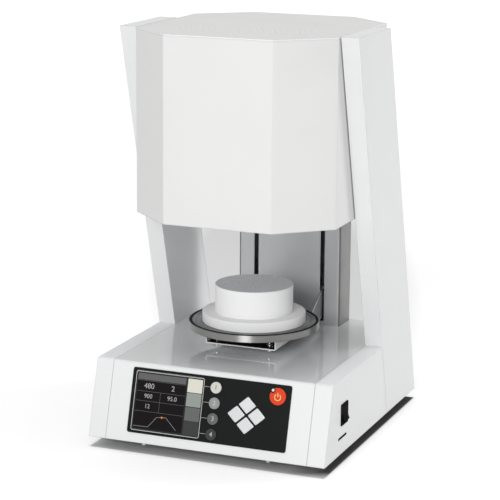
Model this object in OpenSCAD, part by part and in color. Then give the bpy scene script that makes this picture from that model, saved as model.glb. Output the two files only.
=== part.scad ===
// Bench furnace for dental ceramics: a raised eight-sided firing head on two leaning wings,
// a wedge-fronted base with the controls, and a table that a lead screw lifts into the head.
// Millimetres, +Z up, +X to the operator's right, +Y to the rear, origin on the bench
// under the middle of the base.

/* [Casing] */
// Height of the base box above its feet
base_h = 100.5; // [94:0.5:108]
// Height of the wings above their feet
wing_h = 531; // [520:1:545]
// Width over both side covers
body_w = 330; // [326:1:336]
// Depth of the base at its underside
body_d = 381; // [378:1:390]
// Lean of the front, the wings and the rear, in degrees
rake = 16; // [15:0.1:17]
// Thickness of the side covers and the wings
side_t = 24; // [22:0.5:26]
// Depth of a wing from front to rear
wing_d = 127.5; // [122:0.5:133]
// Thickness of the folded casing sheet
sheet_t = 1.5; // [1.2:0.1:1.8]
// Bend radius where the front panel folds into the deck
bend_r = 5; // [3.5:0.5:8]
// Open seam between neighbouring covers
seam = 0.6; // [0.4:0.1:0.8]
// Clearance between a fixed piece and its seat
fit = 0.3; // [0.25:0.01:0.35]
// Thickness of the flat plates inside the wings
plate_t = 2; // [1.5:0.1:3]
// Set-back of the rear panel from the wings' rear edges
rear_inset = 1; // [0.5:0.1:1.5]
// Thickness of the base pan
pan_t = 2; // [1.5:0.1:2.5]
// Height of the base pan's side flanges
pan_flange_h = 16; // [12:1:17]

/* [Feet and screws] */
// Height of a foot
foot_h = 14; // [12:0.5:16]
// Radius of a foot where it meets the pan
foot_r = 13; // [11:0.5:16]
// Distance of the feet from the side covers' inner edges
foot_side_gap = 23; // [20:1:36]
// Distance of the feet from the front and rear edges of the underside
foot_end_gap = 62; // [50:1:70]
// Radius of a cover screw's head
screw_head_r = 3.2; // [2.8:0.1:3.6]
// Height of a cover screw's head
screw_head_h = 1.6; // [1.2:0.1:2]
// Radius of a cover screw's shank
screw_shank_r = 1.4; // [1.2:0.1:1.6]
// Distance of the two front catches from the middle plane
catch_x = 87; // [70:1:95]

/* [Column] */
// Width of the column cover
col_w = 152; // [150:1:158]
// Distance of the column's front from the rear edge of the underside
col_rear = 78.5; // [77.5:0.5:79.5]
// Depth of the column cover
col_d = 46; // [45:0.5:46.5]
// Sheet thickness of the column cover
col_t = 1.2; // [1:0.1:1.5]
// Outside radius of the column cover's upright folds
col_fold_r = 3; // [2:0.5:5]
// Width of the two lift slots
slot_w = 6.5; // [5.5:0.1:8]
// Height of the slots' lower ends above the deck
slot_h0 = 6; // [4:0.5:7]
// Gap between the column cover and the frame inside it
frame_gap = 2.8; // [2:0.1:3.2]
// Sheet thickness of the column frame
frame_t = 3; // [2:0.1:4]
// Height of the column frame above the pan
frame_h = 418; // [405:1:450]

/* [Head] */
// Height of the head's lower edge above the deck
head_clear = 185; // [178:0.5:190]
// Drop of the head's flat top below the wing tops
head_drop = 0.5; // [0.5:0.5:3]
// Gap between the head and each wing
head_gap = 1.3; // [1:0.1:2]
// Depth of the head from front to rear
head_d = 310; // [304:1:314]
// Width of the head's front facet
head_front_w = 149; // [140:1:160]
// Depth of the head's front corners
head_corner = 60; // [54:1:66]
// Depth of the head's rear corners
head_rear_corner = 58; // [52:1:64]
// Width of the lip that carries the head floor
lip_w = 10; // [6:0.5:12]
// Thickness of the head floor
floor_t = 3; // [2:0.1:4]
// Height of the lid's inner skirt
skirt_h = 12; // [8:1:16]
// Radius of a vent hole in the lid
vent_r = 1.7; // [1.2:0.1:2.2]
// Spacing of the vent holes along a row
vent_pitch = 8.4; // [7:0.1:9]
// Spacing of the vent rows
vent_row_pitch = 9.5; // [8:0.5:10]
// Vent holes in a row
vent_cols = 22; // [16:1:22]
// Rows of vent holes
vent_rows = 7; // [3:1:7]
// Distance of the vent field's middle from the head's front
vent_back = 90; // [84:1:96]

/* [Firing table] */
// Distance of the table's axis in front of the column
table_col_gap = 132; // [129:0.5:136]
// Radius of the steel table plate
table_r = 88.3; // [87:0.1:90]
// Height of the table plate's rim
table_h = 9.5; // [9:0.1:11]
// Depth of the pocket in the plate's underside
pocket_h = 3.5; // [2.5:0.1:4]
// Width of the rim round the underside pocket
pocket_rim = 6.3; // [5:0.1:8]
// Depth of the plate's upper recess
recess_h = 1; // [0.5:0.1:1.5]
// Width of the plate's rim round the upper recess
recess_rim = 8.3; // [7.8:0.1:9]
// Distance of the seal's centre line from the plate's edge
seal_inset = 2.9; // [2.6:0.1:3.3]
// Thickness of the seal cord
seal_d = 3.4; // [3:0.1:3.6]
// Depth of the seal's groove
groove_h = 2.6; // [2.2:0.1:2.8]
// Clearance of the seal in its groove
seal_gap = 0.2; // [0.1:0.05:0.3]
// Width of the steel plate that shows outside the ceramic flange
flange_step = 18.6; // [16:0.1:22]
// Height of the ceramic flange
flange_h = 13.3; // [11:0.1:15]
// Width of the flange that shows outside the firing block
block_step = 17.1; // [16:0.1:20]
// Height of the firing block
block_h = 37.3; // [32:0.1:42]
// Thickness of the firing pad let into the block
pad_h = 2; // [1:0.1:3]
// Width of the block's rim round the pad
pad_rim = 1; // [0.6:0.1:2]
// Edge chamfer of the ceramic pieces
ceramic_edge = 0.8; // [0.4:0.1:1.5]
// Height of the plate's rim above the tray floor
table_gap = 15.9; // [14.5:0.1:18]
// How far the table floats down on its springs
float_travel = 3; // [2:0.1:3.2]
// Distance of the float screws from the tray's side edges
float_inset = 12.5; // [11:0.5:15]
// Radius of a float screw's shank
float_r = 2.5; // [2:0.1:3]
// Height of a float screw's head
float_head_h = 3; // [2:0.1:3.2]
// Middle radius of a float spring
spring_r = 4.4; // [4.2:0.1:5.5]
// Wire thickness of a float spring
spring_wire = 1.2; // [1:0.05:1.4]
// Turns of a float spring
spring_turns = 5; // [4:1:6]

/* [Lift] */
// Height of the tray above the deck
tray_clear = 8.2; // [8:0.1:9.5]
// Width of the tray
tray_w = 101; // [98:0.5:104]
// Sheet thickness of the tray
tray_t = 1.8; // [1.5:0.1:2.2]
// Reach of the tray in front of the table's axis
tray_reach = 48; // [46:0.5:54]
// Gap between the tray floor and the column
tray_col_gap = 8; // [6:0.5:12]
// Height of the tray's side walls
tray_h = 12.3; // [11:0.1:13.5]
// Outer bend radius of the tray
tray_bend = 2.6; // [2:0.1:3.5]
// Height of the arms that reach into the column
arm_h = 41; // [38:0.5:44]
// Slope of the arms' upper edge, rise over run
arm_slope = 0.685; // [0.6:0.005:0.75]
// Where the arms' slope ends in front of the column
arm_flat = 4; // [2:0.5:8]
// Distance of the screw and the guide rods behind the column's front
lift_depth = 23; // [22.5:0.1:23.5]
// Depth of the carriage
carriage_d = 24; // [21:0.5:25]
// Distance of the guide rods from the middle plane
rod_x = 30; // [26:0.5:34]
// Radius of a guide rod
rod_r = 6; // [5:0.1:7]
// Radial clearance of shafts, rods and bearings in their bores
run_fit = 0.05; // [0.03:0.01:0.1]
// Radius of the lead screw
screw_r = 6; // [5.5:0.1:7]
// Radius of the lead screw's bearing journals
journal_r = 4; // [3.5:0.1:4.5]
// Radius of the nut's body
nut_r = 9; // [8.5:0.1:11]
// Radius of the nut's flange
nut_flange_r = 13; // [12:0.5:15]
// Height of the nut's flange
nut_flange_h = 4; // [3:0.1:5]
// Height of the nut's body
nut_h = 22; // [16:0.5:28]
// Height of the lower screw plate above the pan
drive_h = 44; // [43.5:0.5:47]
// Thickness of the two screw plates
drive_t = 8; // [7.5:0.1:9]
// Radius of a screw bearing
bearing_r = 11; // [10:0.1:12]
// Height of a screw bearing
bearing_h = 7; // [6:0.1:7.4]
// Distance from the screw to the motor shaft
belt_span = 60; // [56:0.5:64]
// Radius of the screw's pulley
pulley_r = 12.73; // [12:0.01:13.2]
// Radius of the motor's pulley
pinion_r = 6.37; // [6:0.01:7]
// Width of the belt's channel between the pulley flanges
pulley_h = 11; // [9:0.5:12]
// Thickness of a pulley flange
pulley_flange_t = 1.5; // [1:0.1:2]
// How far a pulley flange stands out
pulley_flange_w = 2.4; // [2:0.1:2.6]
// Thickness of the belt
belt_t = 1.3; // [1:0.1:1.6]
// Side of the square motor body
motor_w = 42.3; // [40:0.1:44]
// Height of the motor body
motor_h = 38; // [34:0.5:40]
// Radius of the motor shaft
motor_shaft_r = 2.5; // [2:0.1:3]

/* [Firing chamber] */
// Clearance between the ceramic flange and the chamber mouth
mouth_gap = 4.3; // [3.5:0.1:4.8]
// Thickness of the sealing ring under the head floor
seat_t = 3; // [2:0.1:3.5]
// How far the sealing ring reaches past the table plate
seat_over = 4.7; // [3:0.1:8]
// Clearance between the firing block and the muffle's lower lip
block_gap = 2; // [1.5:0.1:2.5]
// Room left between the raised flange and the muffle's lower lip
flange_up_gap = 3; // [2:0.1:4]
// Height of the muffle's lower lip
muffle_lip_h = 6; // [5:0.1:8]
// Wall of the quartz tube
quartz_t = 3; // [2.5:0.1:3.5]
// Length of the quartz tube
quartz_h = 106; // [95:1:115]
// Radial gap from the quartz tube to the coil's middle
coil_gap = 4; // [3.5:0.1:4.5]
// Wire thickness of the heating coil
coil_wire = 2.4; // [2:0.1:2.8]
// Turns of the heating coil
coil_turns = 8; // [6:1:10]
// Thickness of the insulation round the chamber mouth
mouth_wall = 21.7; // [20:0.1:23]
// Sheet thickness of the vacuum shell
shell_t = 1.5; // [1.2:0.1:2]
// Width of the vacuum shell's foot flange
shell_flange_w = 10; // [8:0.5:12]
// Open joint between the stacked parts of the muffle
muffle_joint = 0.2; // [0.1:0.05:0.3]
// Thickness of the muffle's cap
cap_h = 40; // [34:1:46]
// Radius of the thermocouple rod
probe_r = 2; // [1.5:0.1:2.5]
// How far the thermocouple reaches into the chamber
probe_drop = 22; // [15:1:28]

/* [Control panel] */
// Width of the black overlay
panel_w = 222; // [218:1:224]
// Height of the black overlay, along the slope
panel_h = 85.5; // [83:0.5:88]
// Middle of the overlay above the underside, along the slope
panel_s = 55.3; // [54:0.1:55.5]
// Corner radius of the overlay
panel_r = 3; // [2:0.5:5]
// Thickness of the overlay
panel_t = 0.8; // [0.6:0.1:1]
// Width of the screen's window
screen_w = 96.5; // [92:0.5:97.5]
// Height of the screen's window
screen_h = 78.5; // [74:0.5:80]
// Middle of the screen to the left of the middle plane
screen_x = -58.2; // [-58.8:0.1:-57.8]
// Corner radius of the screen
screen_r = 2.5; // [1.5:0.5:4]
// Depth of the screen's body behind the front panel
screen_depth = 9; // [7:0.5:11]
// Distance of the round keys from the middle plane
key_x = 7.7; // [7:0.1:9]
// Height of the upper round key, along the slope
key_s = 84; // [83.5:0.1:84.5]
// Spacing of the round keys
key_pitch = 20.2; // [19.5:0.1:20.4]
// Radius of a round key
key_r = 7.4; // [6.8:0.1:8]
// Middle of the diamond pad from the middle plane
pad_x = 53.3; // [52:0.1:55]
// Middle of the diamond pad, along the slope
pad_s = 53.7; // [53:0.1:55]
// Distance of the diamond keys from the pad's middle
pad_spread = 14; // [13.6:0.1:14.6]
// Side of a diamond key
pad_key_w = 17; // [16.3:0.1:17.2]
// Height of the diamond pad as a share of its width
pad_squash = 0.93; // [0.9:0.01:1]
// Middle of the start key from the middle plane
start_x = 93.1; // [92:0.1:94]
// Middle of the start key, along the slope
start_s = 82.6; // [82:0.1:83]
// Radius of the start key
start_r = 11; // [10.5:0.1:11.3]
// Radius of the status lamp beside the start key
lamp_r = 2; // [1.6:0.1:2.2]
// Distance of the lamp from the start key's middle, along X and the slope
lamp_off = 7.4; // [7.2:0.1:7.8]
// Ring kept clear round the lamp
lamp_ring = 1.5; // [1.3:0.1:1.8]
// How far a key travels
key_travel = 0.8; // [0.5:0.05:0.9]
// How far a key stands above the overlay
key_proud = 1.3; // [1.2:0.1:1.8]
// Thickness of a key's hidden flange
key_flange_t = 1.2; // [0.8:0.1:1.5]
// How far a key's hidden flange reaches past the key
key_flange_w = 0.8; // [0.5:0.05:0.9]
// Depth of the key board behind the front panel
board_depth = 8; // [7.5:0.1:9]
// Thickness of the circuit boards
board_t = 1.6; // [1.2:0.1:2]
// Edge of the key board left round the screen and the start key
board_edge = 3; // [2:0.5:5]
// Distance of the key board's posts from the diamond pad's middle, along X
post_x = 25; // [23:0.5:26]
// Distance of the key board's posts from the diamond pad's middle, along the slope
post_s = 36; // [35:0.5:37]
// Radius of a board's post
post_r = 2.5; // [2:0.1:3]
// Width of the main board
main_board_w = 130; // [120:1:140]
// Depth of the main board
main_board_d = 70; // [60:1:76]
// Height of the main board above the pan
main_board_lift = 8; // [6:0.5:12]
// Side of a chip on the main board
chip_w = 15; // [10:0.5:18]
// Height of a chip on the main board
chip_h = 5; // [3:0.5:8]
// Spacing of the parts on the main board
chip_pitch = 28; // [24:0.5:30]
// Radius of a capacitor on the main board
can_r = 5; // [4:0.5:7]
// Height of a capacitor on the main board
can_h = 16; // [10:0.5:20]

/* [Right side controls] */
// Distance of the power switch's middle from the front edge of the underside
switch_back = 72; // [66:0.5:80]
// Middle of the power switch above the underside
switch_h = 52.3; // [48:0.1:56]
// Width of the switch frame
switch_w = 25; // [24:0.5:29]
// Height of the switch frame
switch_l = 28.5; // [28:0.1:31]
// How far the switch frame stands out
switch_lip = 1.4; // [1:0.1:2]
// Depth of the switch body
switch_depth = 19; // [16:0.5:20]
// Tilt of the rocker either way from level
rocker_tilt = 10; // [7:0.5:11]
// Radius of the rocker's end faces about its pivot
rocker_r = 12.2; // [11.5:0.1:12.4]
// Distance of the card slot's middle from the front edge of the underside
card_back = 67; // [63:0.5:72]
// Middle of the card slot above the underside
card_h = 22; // [21:0.5:24]
// Length of the card slot
card_l = 33; // [30:0.5:36]
// Height of the card slot
card_w = 3.5; // [3:0.1:4]
// Depth of the card reader
card_depth = 32; // [26:1:34]

/* [Rear and inside] */
// Side of the cooling fan
fan_w = 60; // [56:1:64]
// Depth of the cooling fan
fan_depth = 15; // [12:0.5:18]
// Gap between the fan and the left side cover's inner edge
fan_side_gap = 8; // [5:0.5:12]
// Height of the fan's middle, along the slope
fan_s = 52; // [48:1:56]
// Blades of the fan
fan_blades = 7; // [5:1:9]
// Width of the mains inlet's plate
inlet_w = 34; // [32:0.5:38]
// Height of the mains inlet's plate
inlet_h = 56; // [52:0.5:60]
// Thickness of the mains inlet's plate
inlet_t = 2.4; // [2:0.1:3]
// Width of the plate's rim round the inlet's body
inlet_rim = 4; // [3:0.5:5]
// Depth of the mains inlet behind the panel
inlet_depth = 22; // [19:0.5:26]
// Width of the inlet's mouth
inlet_mouth_w = 23; // [22:0.5:24]
// Height of the inlet's mouth
inlet_mouth_h = 16; // [15:0.5:17]
// Depth of the inlet's mouth
inlet_mouth_depth = 15; // [13:0.5:16]
// Height of the mouth's middle above the inlet's middle
inlet_mouth_s = 10; // [8:0.5:12]
// Distance of the mains inlet's middle from the right side cover's inner edge
inlet_side_gap = 33; // [28:1:40]
// Height of the mains inlet's middle, along the slope
inlet_s = 38; // [34:1:42]
// Distance of the hose spigot from the right side cover's inner edge
spigot_side_gap = 41; // [32:1:48]
// Height of the hose spigot, along the slope
spigot_s = 84; // [82:0.5:86]
// Radius of the hose spigot
spigot_r = 4; // [3.5:0.1:5]
// Length of the hose spigot
spigot_l = 14; // [12:0.5:15]
// Outer radius of the transformer
coil_core_r = 38; // [34:0.5:42]
// Height of the transformer
coil_core_h = 40; // [34:0.5:46]
// Distance of the transformer's middle from the left side cover's inner edge
core_side_gap = 55; // [50:1:60]
// Distance of the transformer's middle in front of the rear edge of the underside
core_rear_gap = 152; // [140:1:160]

/* [Hidden] */
$fn = 96;

// Colours as the photograph shows them
white = [0.93, 0.94, 0.95];
pale_grey = [0.85, 0.86, 0.85];
steel = [0.66, 0.67, 0.68];
dark = [0.11, 0.11, 0.11];
ceramic_white = [0.96, 0.95, 0.92];

// Cuts reach this far past the faces that they open
over = 1;

// Levels
deck_z = foot_h + base_h;
wing_z = foot_h + wing_h;
pan_z = foot_h + pan_t;
in_x = body_w / 2 - side_t;
cover_x = in_x - seam / 2;
seam_run = seam / 2 / cos(rake);
foot_x = in_x - foot_side_gap;
foot_y = body_d / 2 - foot_end_gap;
function front_y(z) = -body_d / 2 + (z - foot_h) * tan(rake);
function rear_y(z) = body_d / 2 - (z - foot_h) * tan(rake);
function seam_y(z) = rear_y(z) - wing_d;

// Column
col_y0 = body_d / 2 - col_rear;
col_y1 = col_y0 + col_d;
lift_y = col_y0 + lift_depth;
frame_x = col_w / 2 - col_t - frame_gap;
frame_y0 = col_y0 + col_t + 2 * frame_gap;
frame_y1 = col_y1 - col_t - frame_gap;
frame_z1 = pan_z + frame_h;
opening_gap = frame_gap / 2;

// Head
head_z0 = deck_z + head_clear;
head_z1 = wing_z - head_drop;
head_x = in_x - head_gap;
head_y1 = col_y1;
head_y0 = head_y1 - head_d;
head_outline = [
  [-head_front_w / 2, head_y0], [head_front_w / 2, head_y0],
  [head_x, head_y0 + head_corner], [head_x, head_y1 - head_rear_corner],
  [head_front_w / 2, head_y1], [-head_front_w / 2, head_y1],
  [-head_x, head_y1 - head_rear_corner], [-head_x, head_y0 + head_corner]
];
floor_z0 = head_z0 + seat_t;
floor_z1 = floor_z0 + floor_t;

// Tray and table, at rest
table_y = col_y0 - table_col_gap;
recess_r = table_r - recess_rim;
seal_r = table_r - seal_inset;
flange_r = table_r - flange_step;
block_r = flange_r - block_step;
float_xy = tray_w / 2 - float_inset;
tray_y0 = table_y - tray_reach;
tray_z0 = deck_z + tray_clear;
tray_z1 = tray_z0 + tray_t;
tray_y1 = col_y0 - tray_col_gap;
arm_x = tray_w / 2 - tray_t;
slot_x = tray_w / 2 - tray_t / 2;
arm_z0 = tray_z0 + tray_t;
arm_z1 = arm_z0 + arm_h;
arm_y1 = lift_y + carriage_d / 2;
arm_flat_y = col_y0 - arm_flat;
arm_foot_y = arm_flat_y - (arm_z1 - tray_z0 - tray_h) / arm_slope;
plate_z0 = tray_z1 + table_gap;
plate_z1 = plate_z0 + table_h;
web_z0 = plate_z0 + pocket_h;
web_z1 = plate_z1 - recess_h;
flange_z1 = web_z1 + flange_h;
block_z1 = flange_z1 + block_h;
groove_z = plate_z1 - groove_h;
groove_w = seal_d + 2 * seal_gap;
seal_top = groove_z + run_fit + seal_d;

// Chamber
mouth_r = flange_r + mouth_gap;
muffle_r = mouth_r + mouth_wall;
shell_r = muffle_r + fit + shell_t;
seat_z0 = head_z0;
lift_travel = seat_z0 - fit - seal_top;
lip_z0 = flange_z1 + lift_travel + flange_up_gap;
lip_z1 = lip_z0 + muffle_lip_h;
lip_r = block_r + block_gap;
quartz_r = lip_r + block_gap;
coil_r = quartz_r + quartz_t + coil_gap;
muffle_bore_r = coil_r + coil_gap;
cap_z0 = lip_z1 + quartz_h;
cap_z1 = cap_z0 + cap_h;
shell_z1 = cap_z1 + fit + shell_t;

// Screw drive
drive_z0 = pan_z + drive_h;
drive_z1 = drive_z0 + drive_t;
pulley_z0 = drive_z1 + 2;
pulley_z1 = pulley_z0 + pulley_h + 2 * pulley_flange_t;
motor_y = lift_y - belt_span;
tongue_x = motor_w / 2 + 6;
top_plate_gap = 20;
top_z0 = arm_z1 + lift_travel + top_plate_gap;
top_z1 = top_z0 + drive_t;
motor_boss_r = 11;

// Control panel
key_hole_gap = 0.25;
key_corner_r = 1.6;
lamp_pos = [start_x - lamp_off, start_s + lamp_off];
switch_y = -body_d / 2 + switch_back;
card_y = -body_d / 2 + card_back;
fan_x = in_x - fan_side_gap - fan_w / 2;
inlet_x = in_x - inlet_side_gap;
spigot_x = in_x - spigot_side_gap;
inlet_body_w = inlet_w - 2 * inlet_rim;
inlet_body_h = inlet_h - 2 * inlet_rim;
diamond_keys = [[0, 1], [0, -1], [-1, 0], [1, 0]];

// Edge of a convex outline moved inward by t
function unit(v) = v / norm(v);
function turned(v) = [-v[1], v[0]];
function inset(p, t) = [
  for (i = [0 : len(p) - 1])
    let (
      before = p[(i + len(p) - 1) % len(p)],
      after = p[(i + 1) % len(p)],
      n = turned(unit(p[i] - before)),
      m = turned(unit(after - p[i]))
    )
    p[i] + (n + m) * t / (1 + n * m)
];

// A flat shape in Y and Z, given thickness along X
module yz(x0, x1) {
  translate([x0, 0, 0])
    rotate([90, 0, 90])
      linear_extrude(x1 - x0)
        children();
}

// A flat shape in X and Y, given height
module xy(z0, z1) {
  translate([0, 0, z0])
    linear_extrude(z1 - z0)
      children();
}

// A block between two corners
module block(low, high) {
  translate(low)
    cube(high - low);
}

// A ring of turned section about the table's axis
module turned_at_table(points) {
  translate([0, table_y, 0])
    rotate_extrude()
      polygon(points);
}

module rounded(w, h, r) {
  square([w - 2 * r, h], center = true);
  square([w, h - 2 * r], center = true);
  for (x = [-1, 1], y = [-1, 1])
    translate([x * (w / 2 - r), y * (h / 2 - r)])
      circle(r);
}

// Frames on the sloping faces: X across, Y up the slope, Z outward
module on_front() {
  translate([0, -body_d / 2, foot_h])
    rotate([90 - rake, 0, 0])
      children();
}

module on_rear() {
  translate([0, body_d / 2 - rear_inset, foot_h])
    rotate([90 - rake, 0, 180])
      children();
}

// One unbroken round wire along points, with six sides
wire_sides = 6;
function wire_ring(p, q, s, out, r) =
  let (along = unit(s - q), up = cross(along, out))
  [for (k = [0 : wire_sides - 1]) p + r * (cos(360 * k / wire_sides) * out + sin(360 * k / wire_sides) * up)];

module wire(points, outs, r) {
  n = len(points);
  rings = [for (i = [0 : n - 1]) wire_ring(points[i], points[max(i - 1, 0)], points[min(i + 1, n - 1)], outs[i], r)];
  sides = [
    for (i = [0 : n - 2], k = [0 : wire_sides - 1])
      let (a = i * wire_sides + k, b = i * wire_sides + (k + 1) % wire_sides)
      each [[a, b, b + wire_sides], [a, b + wire_sides, a + wire_sides]]
  ];
  last = (n - 1) * wire_sides;
  ends = [for (k = [1 : wire_sides - 2]) each [[0, k + 1, k], [last, last + k, last + k + 1]]];
  polyhedron([for (ring = rings) each ring], [for (f = concat(sides, ends)) [f[0], f[2], f[1]]]);
}

// A helix whose two ends stand upright for one wire thickness
function helix_steps(turns, per_turn) = [for (i = [0 : turns * per_turn]) i / per_turn];
function helix_out(turn) = [cos(360 * turn), sin(360 * turn), 0];
function helix_points(r, z0, z1, turns, per_turn, lead_in) =
  let (rise = (z1 - z0 - 2 * lead_in) / turns)
  concat(
    [[r, 0, z0]],
    [for (t = helix_steps(turns, per_turn)) r * helix_out(t) + [0, 0, z0 + lead_in + rise * t]],
    [[r, 0, z1]]
  );
function helix_outs(turns, per_turn) = concat([[1, 0, 0]], [for (t = helix_steps(turns, per_turn)) helix_out(t)], [[1, 0, 0]]);
function self_gap(points, wire_d, skip) =
  min([for (i = [0 : len(points) - 1 - skip], j = [i + skip : len(points) - 1]) norm(points[i] - points[j])]) - wire_d;

// Side outline of the base, moved inward by t, with its rear edge and its bottom as given
module base_outline(t, bottom, rear_top, rear_bottom) {
  top = deck_z - t;
  r = bend_r - t;
  corner = front_y(top) + t / cos(rake);
  reach = r * tan((90 - rake) / 2);
  centre = [corner + reach, top - r];
  polygon([
    [front_y(bottom) + t / cos(rake), bottom], [rear_bottom, bottom], [rear_top, top],
    [corner + reach, top], centre, [corner - reach * sin(rake), top - reach * cos(rake)]
  ]);
  translate(centre)
    circle(r);
}

module base_side_outline(t) {
  edge = seam_run + t / cos(rake);
  base_outline(t, foot_h + t, seam_y(deck_z - t) - edge, seam_y(foot_h + t) - edge);
}

wing_outline = [
  [seam_y(foot_h) + seam_run, foot_h], [rear_y(foot_h), foot_h],
  [rear_y(wing_z), wing_z], [seam_y(wing_z) + seam_run, wing_z]
];

// Casing
module front_cover() {
  deck_rear = rear_y(deck_z) - rear_inset;
  color(white)
    difference() {
      yz(-cover_x, cover_x)
        difference() {
          base_outline(0, foot_h, deck_rear, deck_rear);
          base_outline(sheet_t, foot_h - over, deck_rear + over, deck_rear + over);
        }
      block(
        [-col_w / 2 + col_t + opening_gap, col_y0 + col_t + opening_gap, deck_z - sheet_t - over],
        [col_w / 2 - col_t - opening_gap, col_y1 - col_t - opening_gap, deck_z + over]
      );
      on_front()
        xy(-sheet_t - over, over) {
          translate([screen_x, panel_s])
            rounded(screen_w - 2 * screen_r, screen_h - 2 * screen_r, screen_r);
          key_holes();
        }
    }
}

module base_side(hand) {
  mirror([hand < 0 ? 1 : 0, 0, 0])
    difference() {
      yz(in_x, body_w / 2)
        base_side_outline(0);
      yz(in_x - over, body_w / 2 - sheet_t)
        base_side_outline(sheet_t);
    }
}

module base_side_left() {
  color(white)
    base_side(-1);
}

module base_side_right() {
  color(white)
    difference() {
      base_side(1);
      yz(body_w / 2 - sheet_t - over, body_w / 2 + over) {
        translate([switch_y, foot_h + switch_h])
          square([switch_w - 2 * switch_lip, switch_l - 2 * fit], center = true);
        translate([card_y, foot_h + card_h])
          rounded(card_l, card_w, card_w / 2 - run_fit);
      }
    }
}

module wing(hand) {
  mirror([hand < 0 ? 1 : 0, 0, 0])
    difference() {
      yz(in_x, body_w / 2)
        polygon(wing_outline);
      yz(in_x - over, body_w / 2 - sheet_t)
        polygon(inset(wing_outline, sheet_t));
    }
}

module wing_left() {
  color(white)
    wing(-1);
}

module wing_right() {
  color(white)
    wing(1);
}

module wing_plates() {
  color(white)
    for (hand = [0, 1])
      mirror([hand, 0, 0])
        yz(in_x, in_x + plate_t)
          polygon(inset(wing_outline, sheet_t + fit));
}

pan_x = cover_x - fit;
function pan_front(z) = front_y(z) + (sheet_t + fit) / cos(rake);
function pan_rear(z) = rear_y(z) - rear_inset - (sheet_t + fit) / cos(rake);
pan_slot_l = 40;
pan_slot_w = 4;
pan_slot_pitch = 10;
pan_slot_y = -body_d / 10;

module base_pan() {
  color(steel)
    difference() {
      union() {
        block([-pan_x, pan_front(pan_z), foot_h], [pan_x, pan_rear(pan_z), pan_z]);
        for (hand = [0, 1])
          mirror([hand, 0, 0])
            block(
              [pan_x - pan_t, pan_front(foot_h + pan_flange_h), foot_h],
              [pan_x, pan_rear(foot_h + pan_flange_h), foot_h + pan_flange_h]
            );
      }
      for (hand = [-1, 1], row = [-3 : 3])
        translate([hand * foot_x * 2 / 3, pan_slot_y + row * pan_slot_pitch, foot_h - over])
          linear_extrude(pan_t + 2 * over)
            rounded(pan_slot_l, pan_slot_w, pan_slot_w / 2 - run_fit);
      for (hand = [-1, 1])
        translate([hand * catch_x, catch_y, foot_h - over])
          cylinder(h = pan_t + 2 * over, r = screw_shank_r + fit / 2);
    }
}

panel_screws = [for (x = [-1, 1], s = [8, base_h - 10]) [x * (cover_x - 8), s]];

module rear_panel() {
  y0 = rear_y(foot_h) - rear_inset;
  z1 = deck_z - sheet_t;
  y1 = rear_y(z1) - rear_inset;
  back = sheet_t / cos(rake);
  color(white)
    difference() {
      yz(-cover_x, cover_x)
        polygon([[y0 - back, foot_h], [y0, foot_h], [y1, z1], [y1 - back, z1]]);
      on_rear()
        xy(-sheet_t - over, over) {
          for (p = panel_screws)
            translate(p)
              circle(screw_shank_r + fit / 2);
          translate([fan_x, fan_s])
            fan_grille();
          translate([-inlet_x, inlet_s])
            square([inlet_body_w + 2 * fit, inlet_body_h + 2 * fit], center = true);
          translate([-spigot_x, spigot_s])
            circle(spigot_r + fit);
        }
    }
}

grille_r = fan_w / 2 - 3.5;
grille_pitch = 7.5;

module fan_grille() {
  for (row = [-4 : 4], col = [-4 : 4]) {
    at = [(col + (row % 2 == 0 ? 0 : 0.5)) * grille_pitch, row * grille_pitch * sin(60)];
    if (norm(at) < grille_r - grille_pitch / 3)
      translate(at)
        circle(grille_pitch / 3);
  }
}

module column_outline(t) {
  translate([0, (col_y0 + col_y1) / 2])
    rounded(col_w - 2 * t, col_d - 2 * t, col_fold_r - t);
}

module column_cover() {
  color(steel)
    difference() {
      xy(deck_z, head_z0 - fit)
        column_outline(0);
      xy(deck_z - over, head_z0 + over)
        column_outline(col_t);
      for (hand = [-1, 1])
        translate([hand * slot_x - slot_w / 2, col_y0 - over, deck_z + slot_h0])
          cube([slot_w, col_t + 2 * over, head_clear]);
    }
}

module frame_outline(t) {
  translate([-frame_x - t, frame_y0 - t])
    square([2 * (frame_x + t), frame_y1 - frame_y0 + 2 * t]);
}

module head_shell() {
  color(white) {
    xy(head_z0, head_z1 - sheet_t)
      difference() {
        polygon(head_outline);
        polygon(inset(head_outline, sheet_t));
      }
    xy(floor_z0 - sheet_t, floor_z0)
      difference() {
        polygon(inset(head_outline, sheet_t));
        polygon(inset(head_outline, sheet_t + lip_w));
        frame_outline(fit);
      }
  }
}

module head_lid() {
  inner = sheet_t + fit;
  color(pale_grey)
    difference() {
      union() {
        xy(head_z1 - sheet_t, head_z1)
          polygon(head_outline);
        xy(head_z1 - skirt_h, head_z1 - sheet_t)
          difference() {
            polygon(inset(head_outline, inner));
            polygon(inset(head_outline, inner + sheet_t));
          }
      }
      for (row = [0 : vent_rows - 1], col = [0 : vent_cols - 1 - row % 2])
        translate([
          (col - (vent_cols - 1 - row % 2) / 2) * vent_pitch,
          head_y0 + vent_back + (row - (vent_rows - 1) / 2) * vent_row_pitch,
          head_z1 - sheet_t - over
        ])
          cylinder(h = sheet_t + 2 * over, r = vent_r);
    }
}

// Where the arms at the top of their travel come through the head floor
notch_w = slot_w + 1.5;
notch_y = arm_flat_y - (arm_z1 + lift_travel - seat_z0) / arm_slope - tray_col_gap / 2;

module head_floor() {
  color(steel)
    xy(floor_z0, floor_z1)
      difference() {
        polygon(inset(head_outline, sheet_t + fit));
        translate([0, table_y])
          circle(mouth_r);
        frame_outline(fit);
        for (hand = [-1, 1])
          translate([hand * slot_x - notch_w / 2, notch_y])
            square([notch_w, frame_y0 - notch_y]);
      }
}

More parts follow.
